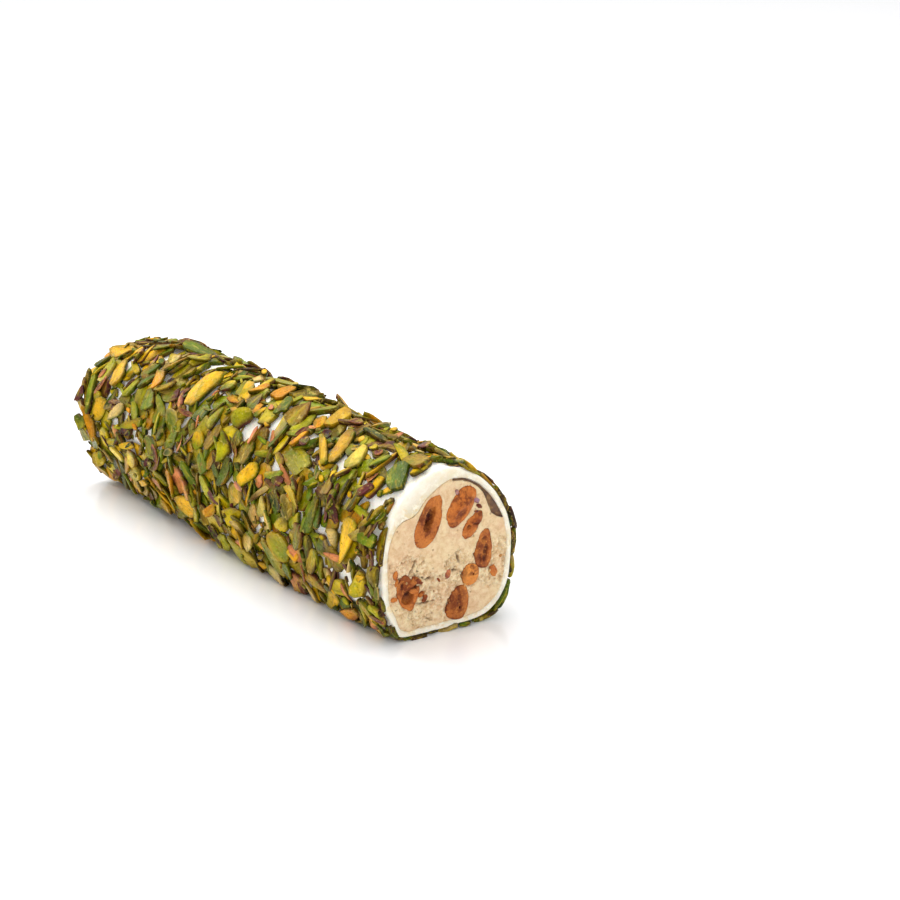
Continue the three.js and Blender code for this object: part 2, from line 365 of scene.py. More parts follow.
def skinMaterial():
    material, tree, shader = startMaterial("almond skin", 0.45, 0.0, 1 * mm)
    place = tree.nodes.new("ShaderNodeTexCoord").outputs["Object"]
    patches = addNoise(tree, place, 420, 4, 0.6)
    color = addLayers(tree, paint(54, 30, 16), [
        (patches, 0.35, 0.65, 1, (120, 78, 38)),
        (patches, 0.56, 0.7, 0.7, (156, 122, 62)),
    ])
    tree.links.new(color, shader.inputs["Base Color"])
    addBump(tree, shader, 0.2 * mm, 0.7, (patches, 1))
    return material


# The coat's materials follow each cut piece: "grain" is a place on the piece itself, "tint" its own colors.
def pistachioMaterial(name, streaks, roughness):
    material, tree, shader = startMaterial(name, roughness, 0.04, 0.8 * mm, 0.13)
    grain = addAttribute(tree, "grain", "Vector")
    long = addNode(tree, "Mapping", Vector=grain, Scale=(0.25, 1.0, 1.0)).outputs["Vector"]
    beside = addNode(tree, "Mapping", Vector=grain, Location=(0.3, 0.1, 0)).outputs["Vector"]
    streak = addNoise(tree, long, streaks, 4, 0.65, 0.4)
    patches = addNoise(tree, grain, 240, 4, 0.6, 0.8)
    stains = addNoise(tree, beside, 330, 4, 0.65, 0.5)
    fine = addNoise(tree, grain, 1300, 4, 0.65)
    light = addRange(tree, addNoise(tree, grain, 420, 2, 0.5), 0.35, 0.65, 0.78, 1.12)
    grey = addNode(tree, "CombineColor", Red=light, Green=light, Blue=light).outputs[0]
    tint = addMix(tree, 1.0, addAttribute(tree, "tint", "Color"), grey, "MULTIPLY")
    color = addLayers(tree, tint, [
        (streak, 0.52, 0.66, 0.32, (230, 196, 24)),
        (streak, 0.46, 0.34, 0.34, (50, 66, 2)),
        (patches, 0.54, 0.62, 0.4, (98, 128, 10)),
        (stains, 0.6, 0.68, 0.45, (150, 82, 18)),
        (stains, 0.39, 0.33, 0.4, (236, 208, 104)),
        (fine, 0.42, 0.33, 0.45, (58, 32, 10)),
        (fine, 0.6, 0.7, 0.35, (240, 220, 140)),
    ])
    tree.links.new(color, shader.inputs["Base Color"])
    dull = addRange(tree, fine, 0.3, 0.7, roughness - 0.16, roughness + 0.14)
    tree.links.new(dull, shader.inputs["Roughness"])
    addBump(tree, shader, 0.19 * mm, 0.9, (streak, 1.5), (fine, 1.1), (patches, 1))
    return material


def noiseOver(x, z, width, seed):  # one value for each point of two arrays, from about -1 to 1
    return np.array([noise.noise(Vector((a, b, seed))) for a, b in zip(x / width, z / width)])


# An oval is given by its length, width, fullness (2 is an ellipse), taper and bend.
# Its own "up" runs along it.
def ovalShare(oval, up, across):
    u = up / (oval["length"] / 2)
    v = across / (oval["width"] / 2)
    v = (v - oval["bend"] * (1 - np.clip(u * u, 0, 1.5))) / (1 - oval["taper"] * np.clip(u, -1.2, 1.2))
    power = oval["fullness"]
    share = (np.abs(u) ** power + np.abs(v) ** power) ** (1 / power)
    return share / ovalWave(oval, np.arctan2(v, u))


def ovalWave(oval, turn):
    seed = oval["seed"]
    wave = np.sin(2 * turn + seed) * 0.35 + np.sin(3 * turn + 2.3 * seed) * 0.4
    wave = wave + np.sin(5 * turn + 4.1 * seed) * 0.35 + np.sin(9 * turn + 7.7 * seed) * 0.15
    outline = 1 + oval["uneven"] * wave
    for middle, spread, depth in oval.get("notches", ()):   # degrees from the upper end towards the right
        outline = outline - depth * bell(turn / degree, middle, spread)
    return outline


def ovalPoint(oval, turn, share):
    power = oval["fullness"]
    c, s = math.cos(turn), math.sin(turn)
    reach = share * ovalWave(oval, turn) / (abs(c) ** power + abs(s) ** power) ** (1 / power)
    u = reach * c
    v = reach * s * (1 - oval["taper"] * u) + oval["bend"] * (1 - min(u * u, 1.5))
    return u * oval["length"] / 2, v * oval["width"] / 2


# Almonds on each cut: place of the middle on the cut, size there, lean from upright towards +X, depth into
# the roll. A hollow is given by its place from the almond's middle (up, across), its size, turn and depth.
# All in millimetres.
def almond(x, z, length, width, lean, depth, taper, proud=0.0, *, color, bend=0.0, hollows=(), notches=(),
        fullness=2.2, uneven=0.04):
    return {"x": x * mm, "z": z * mm, "length": length * mm, "width": width * mm, "lean": lean * degree,
            "depth": depth * mm, "taper": taper, "proud": proud * mm, "bend": bend, "color": color,
            "hollows": hollows, "notches": notches, "fullness": fullness, "uneven": uneven,
            "seed": abs(x) + 0.37 * z}


frontAlmonds = {
    "almond_front_long": almond(-6.1, 32.4, 15.0, 7.4, 22, 5.5, 0.12, color=(162, 88, 38),
        hollows=[(1, 0, 6.5, 2.6, 5, 2.2), (-1.5, 0, 3, 2.6, 0, 1.8), (2.5, -1, 3.5, 1.5, 20, 0.35)],
        notches=[(52, 12, 0.1), (-30, 16, 0.04), (10, 14, -0.05)], fullness=2.3),
    "almond_front_top": almond(4.1, 34.6, 12.6, 7.0, 40, 5.0, -0.1, 0.9, color=(194, 106, 42),
        hollows=[(-1.5, 1.0, 5.0, 2.4, 10, 0.3)], notches=[(-150, 22, 0.06), (60, 20, 0.04)], fullness=2.4),
    "almond_front_lobe": almond(8.0, 28.9, 8.8, 4.4, 38, 4.2, 0.1, 0.5, color=(160, 80, 30),
        hollows=[(-1.2, -0.8, 1.6, 1.4, 0, 0.7), (0.6, 0.6, 2.4, 0.8, 60, 0.5)],
        notches=[(78, 10, 0.16), (-64, 13, 0.2), (150, 12, 0.08)], uneven=0.07),
    "almond_front_right": almond(11.9, 21.3, 11.0, 5.8, 3, 5.0, 0.15, bend=-0.1, color=(144, 72, 30),
        hollows=[(-1.2, 0.3, 5.0, 1.6, 8, 0.8), (2.6, -0.2, 2.0, 1.6, 30, 0.5),
                 (-2.6, -1.2, 2.4, 0.9, -10, 0.4)],
        notches=[(-52, 11, 0.09), (106, 10, 0.1), (-120, 14, 0.07)], uneven=0.07),
    "almond_front_round": almond(7.3, 14.8, 6.1, 5.7, 0, 4.6, 0.0, 0.6, color=(234, 152, 70),
        hollows=[(0.1, 0.6, 0.8, 0.7, 0, 0.6)], uneven=0.03),
    "almond_front_low": almond(3.5, 7.5, 9.8, 7.2, 14, 5.0, 0.14, 0.4, bend=-0.12, color=(134, 66, 26),
        hollows=[(-1.2, 0.4, 0.9, 0.8, 0, 0.7), (1.2, -0.6, 3.2, 1.1, 0, 0.3)], notches=[(-84, 24, 0.15)]),
    "almond_front_broken": almond(-13.4, 13.6, 11.0, 6.6, -12, 4.4, 0.2, color=(158, 80, 32),
        hollows=[(-1.6, -0.4, 4.6, 3.6, 40, 2.2), (0.2, 1.8, 4.4, 1.4, 70, 1.2),
                 (2.6, -0.9, 2.4, 1.1, 20, 0.6)],
        notches=[(150, 16, 0.12), (-100, 14, 0.1), (84, 16, -0.16)], fullness=1.8, uneven=0.07),
}
backAlmonds = {
    "almond_back_long": almond(-11.5, 26.0, 14.4, 6.6, -14, 5.4, 0.2, color=(172, 102, 44),
        hollows=[(0.2, 0.3, 5.2, 1.3, -4, 1.2)]),
    "almond_back_split": almond(1.6, 32.0, 10.4, 6.6, 24, 5.0, 0.08, color=(180, 100, 40),
        hollows=[(0.0, 0.0, 7.4, 1.2, 6, 1.3)]),
    "almond_back_sliver": almond(-4.3, 26.5, 8.4, 3.4, 6, 4.0, 0.25, color=(168, 88, 36)),
    "almond_back_pale": almond(7.2, 20.4, 10.0, 6.6, -38, 5.0, -0.12, 0.5, color=(196, 122, 54)),
    "almond_back_round": almond(12.3, 11.8, 8.0, 7.2, 10, 5.2, 0.05, 0.8, color=(184, 104, 42),
        hollows=[(0.2, -0.3, 0.9, 0.7, 0, 0.5)]),
    "almond_back_low": almond(-3.0, 8.8, 9.4, 6.2, 68, 4.8, 0.1, color=(164, 90, 38),
        hollows=[(0.6, 0.2, 3.6, 0.9, 12, 0.6)]),
    "almond_back_side": almond(13.0, 28.6, 8.0, 4.0, -30, 4.0, 0.15, color=(170, 92, 38)),
    "almond_back_chip": almond(-13.2, 13.0, 6.4, 4.2, 30, 3.8, 0.2, color=(164, 86, 34),
        hollows=[(0.3, 0.2, 2.6, 1.8, 20, 0.8)]),
}

# What the knife left on each cut: crumbly places in its lower half, and cracks and pits among them. Sizes
# are from least to most, in millimetres. "crumblyOut" is a share of the way out to the wrap's outside.
flaws = {
    "crumbly": 7, "crumblyRadius": (4, 8), "crumblyOut": (0.2, 0.75),
    "cracks": 6, "crackLength": (2.5, 6), "crackHalfWidth": (0.2, 0.35), "crackDepth": (0.6, 1.2),
    "pits": 5, "pitRadius": (0.4, 0.6), "pitDepth": (0.7, 1.2),
}


def strewnFlaws(seed):
    pick = random.Random(seed)
    crumbly, cracks, pits = [], [], []
    for place in range(flaws["crumbly"]):
        angle = 180 + 180 * (place + pick.random()) / flaws["crumbly"]
        away = pick.uniform(*flaws["crumblyOut"]) * wrapRadius(angle * degree) / mm
        x, z = away * math.cos(angle * degree), away * math.sin(angle * degree)
        crumbly.append((x, roll["axisHeight"] / mm + z, pick.uniform(*flaws["crumblyRadius"])))
    for crack in range(flaws["cracks"]):
        x, z, radius = pick.choice(crumbly)
        turn, length = pick.uniform(0, math.pi), pick.uniform(*flaws["crackLength"])
        cracks.append((x, z, x + length * math.cos(turn), z + length * math.sin(turn),
            pick.uniform(*flaws["crackHalfWidth"]), pick.uniform(*flaws["crackDepth"])))
    for pit in range(flaws["pits"]):
        x, z, radius = pick.choice(crumbly)
        pits.append((x + pick.uniform(-1, 1) * radius, z + pick.uniform(-1, 1) * radius,
            pick.uniform(*flaws["pitRadius"]), pick.uniform(*flaws["pitDepth"])))
    return {"crumbly": crumbly, "cracks": cracks, "pits": pits}


cuts = {
    "front": {"y": frontY, "inward": 1, "seed": 3.1, "almonds": frontAlmonds, **strewnFlaws(5)},
    "back": {"y": backY, "inward": -1, "seed": 11.4, "almonds": backAlmonds, **strewnFlaws(9)},
}


def hollowShare(hollow, up, across):
    hollowUp, hollowAcross, length, width, turn, depth = hollow
    turn = turn * degree
    u = up - hollowUp * mm
    v = across - hollowAcross * mm
    first = (u * math.cos(turn) + v * math.sin(turn)) / (length * mm / 2)
    second = (v * math.cos(turn) - u * math.sin(turn)) / (width * mm / 2)
    return np.hypot(first, second)


nougat = {
    "cellsAcross": 184,
    "underWrap": 0.3 * mm,      # the paste reaches this far under the white ring
    "edgeDip": 0.35 * mm,
    "softWave": 0.16 * mm,      # slow unevenness left by the knife
    "smear": 0.05 * mm,
    "crumbDepth": 0.42 * mm,
    "crumbWidth": 1.15 * mm,
    "crumbDrift": 0.35,
    # Painted shade: how dark the gaps between crumbs, the cracks and the pits are painted
    "crumbShade": 0.22,
    "flawShade": 0.85,
    "strayPits": 100, "strayRadius": (0.14, 0.34), "strayDepth": (0.3, 0.9), "strayShade": (0.1, 0.7),
    "pocketGap": 0.978,         # the paste laps a little over the almond's rim
    "pocketExtra": 0.25 * mm,   # and its pocket is this much deeper than the almond
    "curlExtra": 0.5 * mm,
    # painted shade along the seam with the wrap, darker where the wrap laps over the paste
    "seamShade": 0.3, "lapShade": 0.6, "lapPast": 6.0, "lapSpread": 15.0,
    "wallDepth": 3 * mm,        # of the side behind each cut, before the long stretch between them
}


skinCurl = {
    "cells": (90, 10),
    "low": 22.5 * degree,
    "high": 86 * degree,
    "thickness": 2.4 * mm,
    "profile": ([0, 0.07, 0.18, 0.34, 0.5, 0.62, 1], [0.04, 0.6, 1, 0.72, 0.3, 0.14, 0.05]),
    "depth": 5 * mm,
    "gap": 0.15 * mm,
    "dish": 0.5 * mm,
}


def curlFatness(share):
    return np.interp(share, *skinCurl["profile"]) * skinCurl["thickness"]


def curlCover(x, z):  # the points of the front cut where the skin lies
    angle = np.arctan2(z - roll["axisHeight"], x)
    share = (angle - skinCurl["low"]) / (skinCurl["high"] - skinCurl["low"])
    within = (share > 0) & (share < 1)
    inner = wrapRadius(angle) - wrapThickness(angle) - curlFatness(np.clip(share, 0, 1)) - 0.25 * mm
    return within & (np.hypot(x, z - roll["axisHeight"]) > inner * swelling(angle, frontY))


def nougatReach(angle, seed):
    return wrapRadius(angle) - wrapThickness(angle) + handWave(angle, seed) + nougat["underWrap"]


def cutRelief(x, z, edgeShare, cut):  # depth into the roll, crumble and shade for arrays of points on a cut
    seed = cut["seed"]
    pick = random.Random(int(seed * 100))
    crumble = np.zeros_like(x)
    drift = noiseOver(x, z, 3.5 * mm, seed) * nougat["crumbDrift"]
    for centreX, centreZ, radius in cut["crumbly"]:
        away = np.hypot(x - centreX * mm, z - centreZ * mm) / (radius * mm) + drift
        crumble = np.maximum(crumble, 1 - smoothStep(0.7, 1.15, away))
    depth = nougat["softWave"] * noiseOver(x, z, 8 * mm, seed + 1)
    depth += nougat["smear"] * noiseOver(x, z * 0.5, 1.6 * mm, seed + 2)
    width = nougat["crumbWidth"]
    seam = np.empty_like(x)
    for i, (a, b) in enumerate(zip(x / width, z / width)):
        nearest = noise.voronoi(Vector((a, b, seed)))[0]
        seam[i] = nearest[1] - nearest[0]
    grains = 1 - smoothStep(0.0, 0.45, seam)
    rough = noiseOver(x, z, 0.7 * mm, seed + 3)
    ragged = noiseOver(x, z, 1.3 * mm, seed + 5)
    shred = noiseOver(x, z, 0.42 * mm, seed + 6)
    broken = smoothStep(-0.35, 0.35, noiseOver(x, z, 2.2 * mm, seed + 4))
    depth += crumble * nougat["crumbDepth"] * (grains * broken + 0.45 * rough + 0.3)
    # painted shade in the gaps between the crumbs
    shade = crumble * grains * broken * nougat["crumbShade"]
    for x0, z0, x1, z1, halfWidth, crackDepth in cut["cracks"]:
        wander = noiseOver(x, z, 0.9 * mm, x0) * 0.35 * mm
        spanX, spanZ = (x1 - x0) * mm, (z1 - z0) * mm
        share = ((x - x0 * mm) * spanX + (z - z0 * mm) * spanZ) / (spanX ** 2 + spanZ ** 2)
        share = np.clip(share, 0, 1)
        away = np.abs(np.hypot(x - x0 * mm - share * spanX, z - z0 * mm - share * spanZ) + wander)
        opened = (1 - smoothStep(0.4, 1.5, away / (halfWidth * mm))) * (0.45 + 0.55 * np.sin(np.pi * share))
        depth += crackDepth * mm * opened
        # painted shade down in each crack
        shade = np.maximum(shade, nougat["flawShade"] * opened)
    pits = [(a * mm, b * mm, r * mm, d * mm, nougat["flawShade"]) for a, b, r, d in cut["pits"]]
    for stray in range(nougat["strayPits"]):
        centreX, centreZ, radius = pick.choice(cut["crumbly"])
        away = radius * math.sqrt(pick.random())
        turn = pick.uniform(0, 2 * math.pi)
        pits.append(((centreX + away * math.cos(turn)) * mm, (centreZ + away * math.sin(turn)) * mm,
            pick.uniform(*nougat["strayRadius"]) * mm, pick.uniform(*nougat["strayDepth"]) * mm,
            pick.uniform(*nougat["strayShade"]) ** 1.5))
    for centreX, centreZ, radius, pitDepth, dark in pits:
        lean = centreX * 900 + centreZ * 1700
        u = (x - centreX) * math.cos(lean) + (z - centreZ) * math.sin(lean)
        v = (z - centreZ) * math.cos(lean) - (x - centreX) * math.sin(lean)
        away = np.hypot(u * 0.7, v * 1.5) / radius * (1 + 0.7 * ragged + 0.5 * rough + 0.8 * shred)
        opened = 1 - smoothStep(0.5, 1.3, away)
        depth += pitDepth * opened
        # painted shade in each pit
        shade = np.maximum(shade, dark * opened)
    depth += nougat["edgeDip"] * smoothStep(0.975, 1.0, edgeShare)
    # painted shade along the seam with the wrap, darkest where the wrap laps over the paste
    angle = np.degrees(np.arctan2(z - roll["axisHeight"], x))
    byLap = bell(angle, roll["lapAngle"] + nougat["lapPast"], nougat["lapSpread"])
    seamShade = nougat["seamShade"] + nougat["lapShade"] * byLap
    shade = np.maximum(shade, seamShade * smoothStep(0.978 - 0.012 * ragged, 0.995, edgeShare))
    for nut in cut["almonds"].values():
        up, across = nutPlace(nut, x, z)
        share = ovalShare(nut, up, across)
        pocket = np.clip(share / nougat["pocketGap"], 0, 1)
        inside = share < nougat["pocketGap"]
        depth = np.where(inside, nut["depth"] * np.sqrt(1 - pocket ** 2) + nougat["pocketExtra"], depth)
        # painted shade in patches round each almond's rim, where the paste meets the nut
        shade = np.maximum(shade, (0.5 * ragged - 0.02) * (1 - smoothStep(1.0, 1.05, share)))
    if cut["inward"] > 0:
        curled = curlCover(x, z)
        depth = np.where(curled, depth + skinCurl["depth"] + nougat["curlExtra"], depth)
    return depth, crumble, shade


def nutPlace(nut, x, z):
    dx, dz = x - nut["x"], z - nut["z"]
    sine, cosine = math.sin(nut["lean"]), math.cos(nut["lean"])
    return dx * sine + dz * cosine, dx * cosine - dz * sine


def grownLoop(bm, edges, place):  # the next loop of edges, with each of its vertices in its place
    grown = bmesh.ops.extrude_edge_only(bm, edges=edges)["geom"]
    for vert in grown:
        if isinstance(vert, bmesh.types.BMVert):
            vert.co = place(vert)
    return [edge for edge in grown if isinstance(edge, bmesh.types.BMEdge) and edge.is_boundary]


def makeNougat():
    bm = bmesh.new()
    crumbleLayer = bm.verts.layers.float.new("crumble")
    shadeLayer = bm.verts.layers.float.new("shade")
    rims = []
    for cut in cuts.values():
        cells = nougat["cellsAcross"]
        grid = bmesh.ops.create_grid(bm, x_segments=cells, y_segments=cells, size=1)["verts"]
        u = np.array([vert.co.x for vert in grid])
        v = np.array([vert.co.y for vert in grid])
        flatX = u * np.sqrt(1 - v * v / 2)      # a square of cells laid out as a disc
        flatZ = v * np.sqrt(1 - u * u / 2)
        share = np.hypot(flatX, flatZ)
        angle = np.arctan2(flatZ, flatX)
        reach = np.array([float(nougatReach(a, cut["seed"])) for a in angle]) * swelling(angle, cut["y"])
        x = share * reach * np.cos(angle)
        z = share * reach * np.sin(angle) + roll["axisHeight"]
        depth, crumble, shade = cutRelief(x, z, share, cut)
        for i, vert in enumerate(grid):
            vert.co = (x[i], cut["y"] + cut["inward"] * depth[i], z[i])
            vert[crumbleLayer] = crumble[i]
            vert[shadeLayer] = shade[i]
        rims.append([edge for edge in bm.edges if edge.is_boundary and edge.verts[0] in set(grid)])
    walls = []
    for cut, rim in zip(cuts.values(), rims):
        wallY = cut["y"] + cut["inward"] * nougat["wallDepth"]
        walls += grownLoop(bm, rim, lambda vert: (vert.co.x, wallY, vert.co.z))
    bmesh.ops.bridge_loops(bm, edges=walls)
    bmesh.ops.recalc_face_normals(bm, faces=bm.faces)
    return finishPiece(bm, "nougat_body", ["nougat_filling"], nougatMaterial())


wrapSheet = {
    "vertsRound": 300,
    "ringLoops": 11,            # loops across the white ring on a cut
    "loopPitch": 1.3 * mm,      # between loops along the roll
    "innerRounding": 0.3 * mm,
    "outerRounding": 0.55 * mm,
    "lumps": 0.16 * mm,
    "knifeWave": 0.14 * mm, "fineWave": 0.05 * mm,
    "ringClear": 1 * mm,        # the side's loops keep this far from each cut
    "lumpsFrom": 1.6 * mm, "lumpsOver": 2 * mm,     # the height above the floor where the lumps begin
    "ringReach": 0.8 * mm, "ringCream": 0.25,
}


def ringPlace(cut, share):  # on the white ring of a cut, from its inner edge (0) to its outer edge (1)
    inner = wrapSheet["innerRounding"]
    outer = wrapSheet["outerRounding"]

    def place(angle):
        out = float(wrapRadius(angle))
        low = out - float(wrapThickness(angle)) + handWave(angle, cut["seed"])
        round3 = Vector((math.cos(angle) * 5, math.sin(angle) * 5, cut["seed"] + share * 1.2))
        wave = noise.noise(round3) * wrapSheet["knifeWave"]
        wave += wrapSheet["fineWave"] * noise.noise(round3 * 4)
        toInner = share * (out - low)
        toOuter = (1 - share) * (out - low)
        fall = inner * max(0.0, 1 - toInner / inner) ** 2 + outer * max(0.0, 1 - toOuter / outer) ** 2
        radius = low + share * (out - low)
        spot = sectionPoint(radius, angle, cut["y"])
        spot.y += cut["inward"] * (fall + wave)
        return spot
    return place


def sidePlace(y):
    def place(angle):
        spot = sectionPoint(float(wrapRadius(angle)), angle, y)
        lump = noise.noise(spot * 260) + 0.5 * noise.noise(spot * 700)
        away = Vector((math.cos(angle), 0, math.sin(angle)))
        clear = clamp((spot.z - wrapSheet["lumpsFrom"]) / wrapSheet["lumpsOver"])
        return spot + away * lump * wrapSheet["lumps"] * clear
    return place


def wallPlace(cut):
    def place(angle):
        low = float(wrapRadius(angle) - wrapThickness(angle)) + handWave(angle, cut["seed"])
        spot = sectionPoint(low, angle, cut["y"])
        spot.y += cut["inward"] * nougat["wallDepth"]
        return spot
    return place


def makeWrap():
    bm = bmesh.new()
    turnLayer = bm.verts.layers.float.new("turn")
    cutLayer = bm.verts.layers.float.new("cut")
    front, back = cuts["front"], cuts["back"]
    rings = [step / wrapSheet["ringLoops"] for step in range(wrapSheet["ringLoops"] + 1)]
    places = [ringPlace(front, share) for share in rings]
    sideLength = backY - frontY - 2 * wrapSheet["ringClear"]
    spans = round(sideLength / wrapSheet["loopPitch"])
    for step in range(spans + 1):
        places.append(sidePlace(frontY + wrapSheet["ringClear"] + step * sideLength / spans))
    places += [ringPlace(back, share) for share in reversed(rings)]
    places.append(wallPlace(back))
    start = bmesh.ops.create_circle(bm, segments=wrapSheet["vertsRound"], radius=1)["verts"]
    firstPlace = wallPlace(front)
    for vert in start:
        vert[turnLayer] = math.atan2(vert.co.y, vert.co.x)
        vert.co = firstPlace(vert[turnLayer])
    firstEdges = list(bm.edges)
    edges = firstEdges
    for place in places:
        edges = grownLoop(bm, edges, lambda vert: place(vert[turnLayer]))
    bmesh.ops.bridge_loops(bm, edges=firstEdges + edges)
    for vert in bm.verts:       # the cut ring is creamier towards the filling
        angle = vert[turnLayer]
        out = float(wrapRadius(angle) * swelling(angle, vert.co.y))
        inward = (out - math.hypot(vert.co.x, vert.co.z - roll["axisHeight"])) / float(wrapThickness(angle))
        onCut = min(vert.co.y - frontY, backY - vert.co.y) < wrapSheet["ringReach"]
        cream = wrapSheet["ringCream"]
        vert[cutLayer] = cream + (1 - cream) * clamp(inward) if onCut else 0.0
    bmesh.ops.recalc_face_normals(bm, faces=bm.faces)
    return finishPiece(bm, "marshmallow_sheet", ["marshmallow_wrap"], marshmallowMaterial())


almondFinish = {
    "skinStart": 0.93,          # share of the way out where the brown skin's edge begins
    "skin": (132, 66, 26),
    # painted shade in the almonds' hollows, darker the deeper the hollow
    "hollow": (58, 22, 24),
    "rim": (198, 120, 58),      # the flesh is palest just inside the skin
    "edgeFall": 0.12 * mm, "edgeSharpness": 14,
    "lip": 0.05 * mm, "lipAt": 0.95, "lipHalf": 0.05,
    "roughness": 0.08 * mm,
    "broadBump": 1.4 * mm, "fineBump": 0.5 * mm, "mottle": 1.1 * mm,
    "rimShare": 0.75,
}


def makeAlmond(name, nut, cut, material):
    bm = bmesh.new()
    tintLayer = bm.verts.layers.float_color.new("tint")
    bmesh.ops.create_icosphere(bm, subdivisions=6, radius=1)
    flesh = colorVector(nut["color"])
    skin = colorVector(almondFinish["skin"])
    rim = colorVector(almondFinish["rim"])
    paintedHollowShadeColor = colorVector(almondFinish["hollow"])
    sine, cosine = math.sin(nut["lean"]), math.cos(nut["lean"])
    for vert in bm.verts:
        across, inward, up = vert.co
        share = math.hypot(across, up)
        along, aside = ovalPoint(nut, math.atan2(across, up), share)
        x = nut["x"] + along * sine + aside * cosine
        z = nut["z"] + along * cosine - aside * sine
        bumps = noise.noise(Vector((x, z, nut["seed"])) / almondFinish["broadBump"])
        bumps += 0.5 * noise.noise(Vector((x, z, 3)) / almondFinish["fineBump"])
        if inward <= 0:
            depth = almondFinish["edgeFall"] * share ** almondFinish["edgeSharpness"]
            depth -= nut["proud"] * (1 - share * share)
            toLip = abs(share - almondFinish["lipAt"]) / almondFinish["lipHalf"]
            depth -= almondFinish["lip"] * max(0.0, 1 - toLip)
            depth += almondFinish["roughness"] * bumps * (1 - share ** 6)
            sunk = 0.0
            for hollow in nut["hollows"]:
                away = float(hollowShare(hollow, along, aside)) * (1 + 0.12 * bumps)
                opened = max(0.0, 1 - away * away)
                depth += hollow[5] * mm * opened ** 0.6
                sunk = max(sunk, min(1.0, opened ** 0.5 * 1.3 * min(1.0, hollow[5] / 0.8)))
            edge = float(smoothStep(almondFinish["skinStart"], 0.985, share))
            mottle = 0.5 + 0.5 * noise.noise(Vector((x, z, 9)) / almondFinish["mottle"])
            nearRim = float(smoothStep(0.45, 0.85, share) * (1 - smoothStep(0.9, 0.98, share)))
            paler = almondFinish["rimShare"] * mottle * nearRim
            color = (flesh * (0.86 + 0.14 * share)).lerp(rim, paler).lerp(skin, (0.25 + 0.6 * mottle) * edge)
            # painted shade in the hollows, darkest in the deep middle of each
            color = color.lerp(paintedHollowShadeColor, sunk)
        else:
            depth = almondFinish["edgeFall"] + (nut["depth"] - almondFinish["edgeFall"]) * inward
            color = skin
        vert.co = (x, cut["y"] + cut["inward"] * depth, z)
        vert[tintLayer] = (*color, 1)
    bmesh.ops.recalc_face_normals(bm, faces=bm.faces)
    return finishPiece(bm, name + "_cut", [name], material)


def makeSkinCurl():
    bm = bmesh.new()
    across, through = skinCurl["cells"]
    grid = bmesh.ops.create_grid(bm, x_segments=across, y_segments=through, size=1)["verts"]
    for vert in grid:
        share = (vert.co.x + 1) / 2
        inside = (vert.co.y + 1) / 2
        angle = skinCurl["low"] + share * (skinCurl["high"] - skinCurl["low"])
        fat = float(curlFatness(share))
        ragged = 0.12 * mm * noise.noise(Vector((share * 14, inside, 5)))
        outside = float(wrapRadius(angle) - wrapThickness(angle)) + handWave(angle, cuts["front"]["seed"])
        radius = outside - skinCurl["gap"] - inside * (fat + ragged + 0.15 * mm)
        spot = sectionPoint(radius, angle, frontY)
        fold = math.sin(math.pi * inside)
        spot.y += skinCurl["dish"] * fold * min(1.0, fat / mm) - 0.2 * mm + 0.15 * mm * inside
        vert.co = spot
    deep = bmesh.ops.extrude_face_region(bm, geom=list(bm.faces))["geom"]
    for vert in deep:
        if isinstance(vert, bmesh.types.BMVert):
            vert.co.y = frontY + skinCurl["depth"]
    bmesh.ops.recalc_face_normals(bm, faces=bm.faces)
    return finishPiece(bm, "almond_skin_fold", ["almond_skin_curl"], skinMaterial())


# Small broken pieces pressed in the cuts, strewn round an almond or in the crumbly places: how many, how far
# from the middle, length from least to most in millimetres, how far proud, and colors.
brokenBits = {
    "front": [
        ("almond_front_broken", 6, 5, (1.5, 4), 0.5,
            [(206, 122, 58), (212, 116, 48), (178, 86, 38), (126, 56, 26)]),
        ("almond_front_top", 5, 6, (1, 2.5), 0.4, [(206, 178, 190), (176, 142, 164), (92, 40, 46)]),
        ("crumbly", 6, 5, (1, 4), 0.2, [(186, 102, 50), (138, 62, 30), (150, 92, 50), (206, 120, 96)]),
    ],
    "back": [
        ("crumbly", 10, 5, (1, 3.2), 0.2, [(184, 104, 52), (160, 92, 52), (212, 168, 120), (112, 62, 60)]),
    ],
}


def strewnBits(side, pick):
    bits = []
    for centre, count, reach, lengths, proud, colors in brokenBits[side]:
        for bit in range(count):
            if centre == "crumbly":
                x, z, radius = pick.choice(cuts[side]["crumbly"])
            else:
                nut = cuts[side]["almonds"][centre]
                x, z = nut["x"] / mm, nut["z"] / mm
            turn, away = pick.uniform(0, 2 * math.pi), reach * math.sqrt(pick.random())
            length = pick.uniform(*lengths)
            width = length * pick.uniform(0.4, 0.7)
            bits.append((x + away * math.cos(turn), z + away * math.sin(turn), length, width,
                pick.uniform(-90, 90), proud, pick.choice(colors)))
    return bits


looseGrains = {
    "count": 8, "size": (0.7, 1.2), "proud": 0.3,
    "colors": [(222, 186, 126), (236, 212, 166), (196, 148, 88)],
}


def fineCrumbs(cut, pick):  # pale grains lying loose in the crumbly places
    crumbs = []
    for grain in range(looseGrains["count"]):
        x, z, radius = pick.choice(cut["crumbly"])
        x, z = x + pick.uniform(-0.5, 0.5) * radius, z + pick.uniform(-0.5, 0.5) * radius
        size = pick.uniform(*looseGrains["size"])
        crumbs.append((x, z, size, size * 0.8, pick.uniform(0, 90), looseGrains["proud"],
            pick.choice(looseGrains["colors"])))
    return crumbs


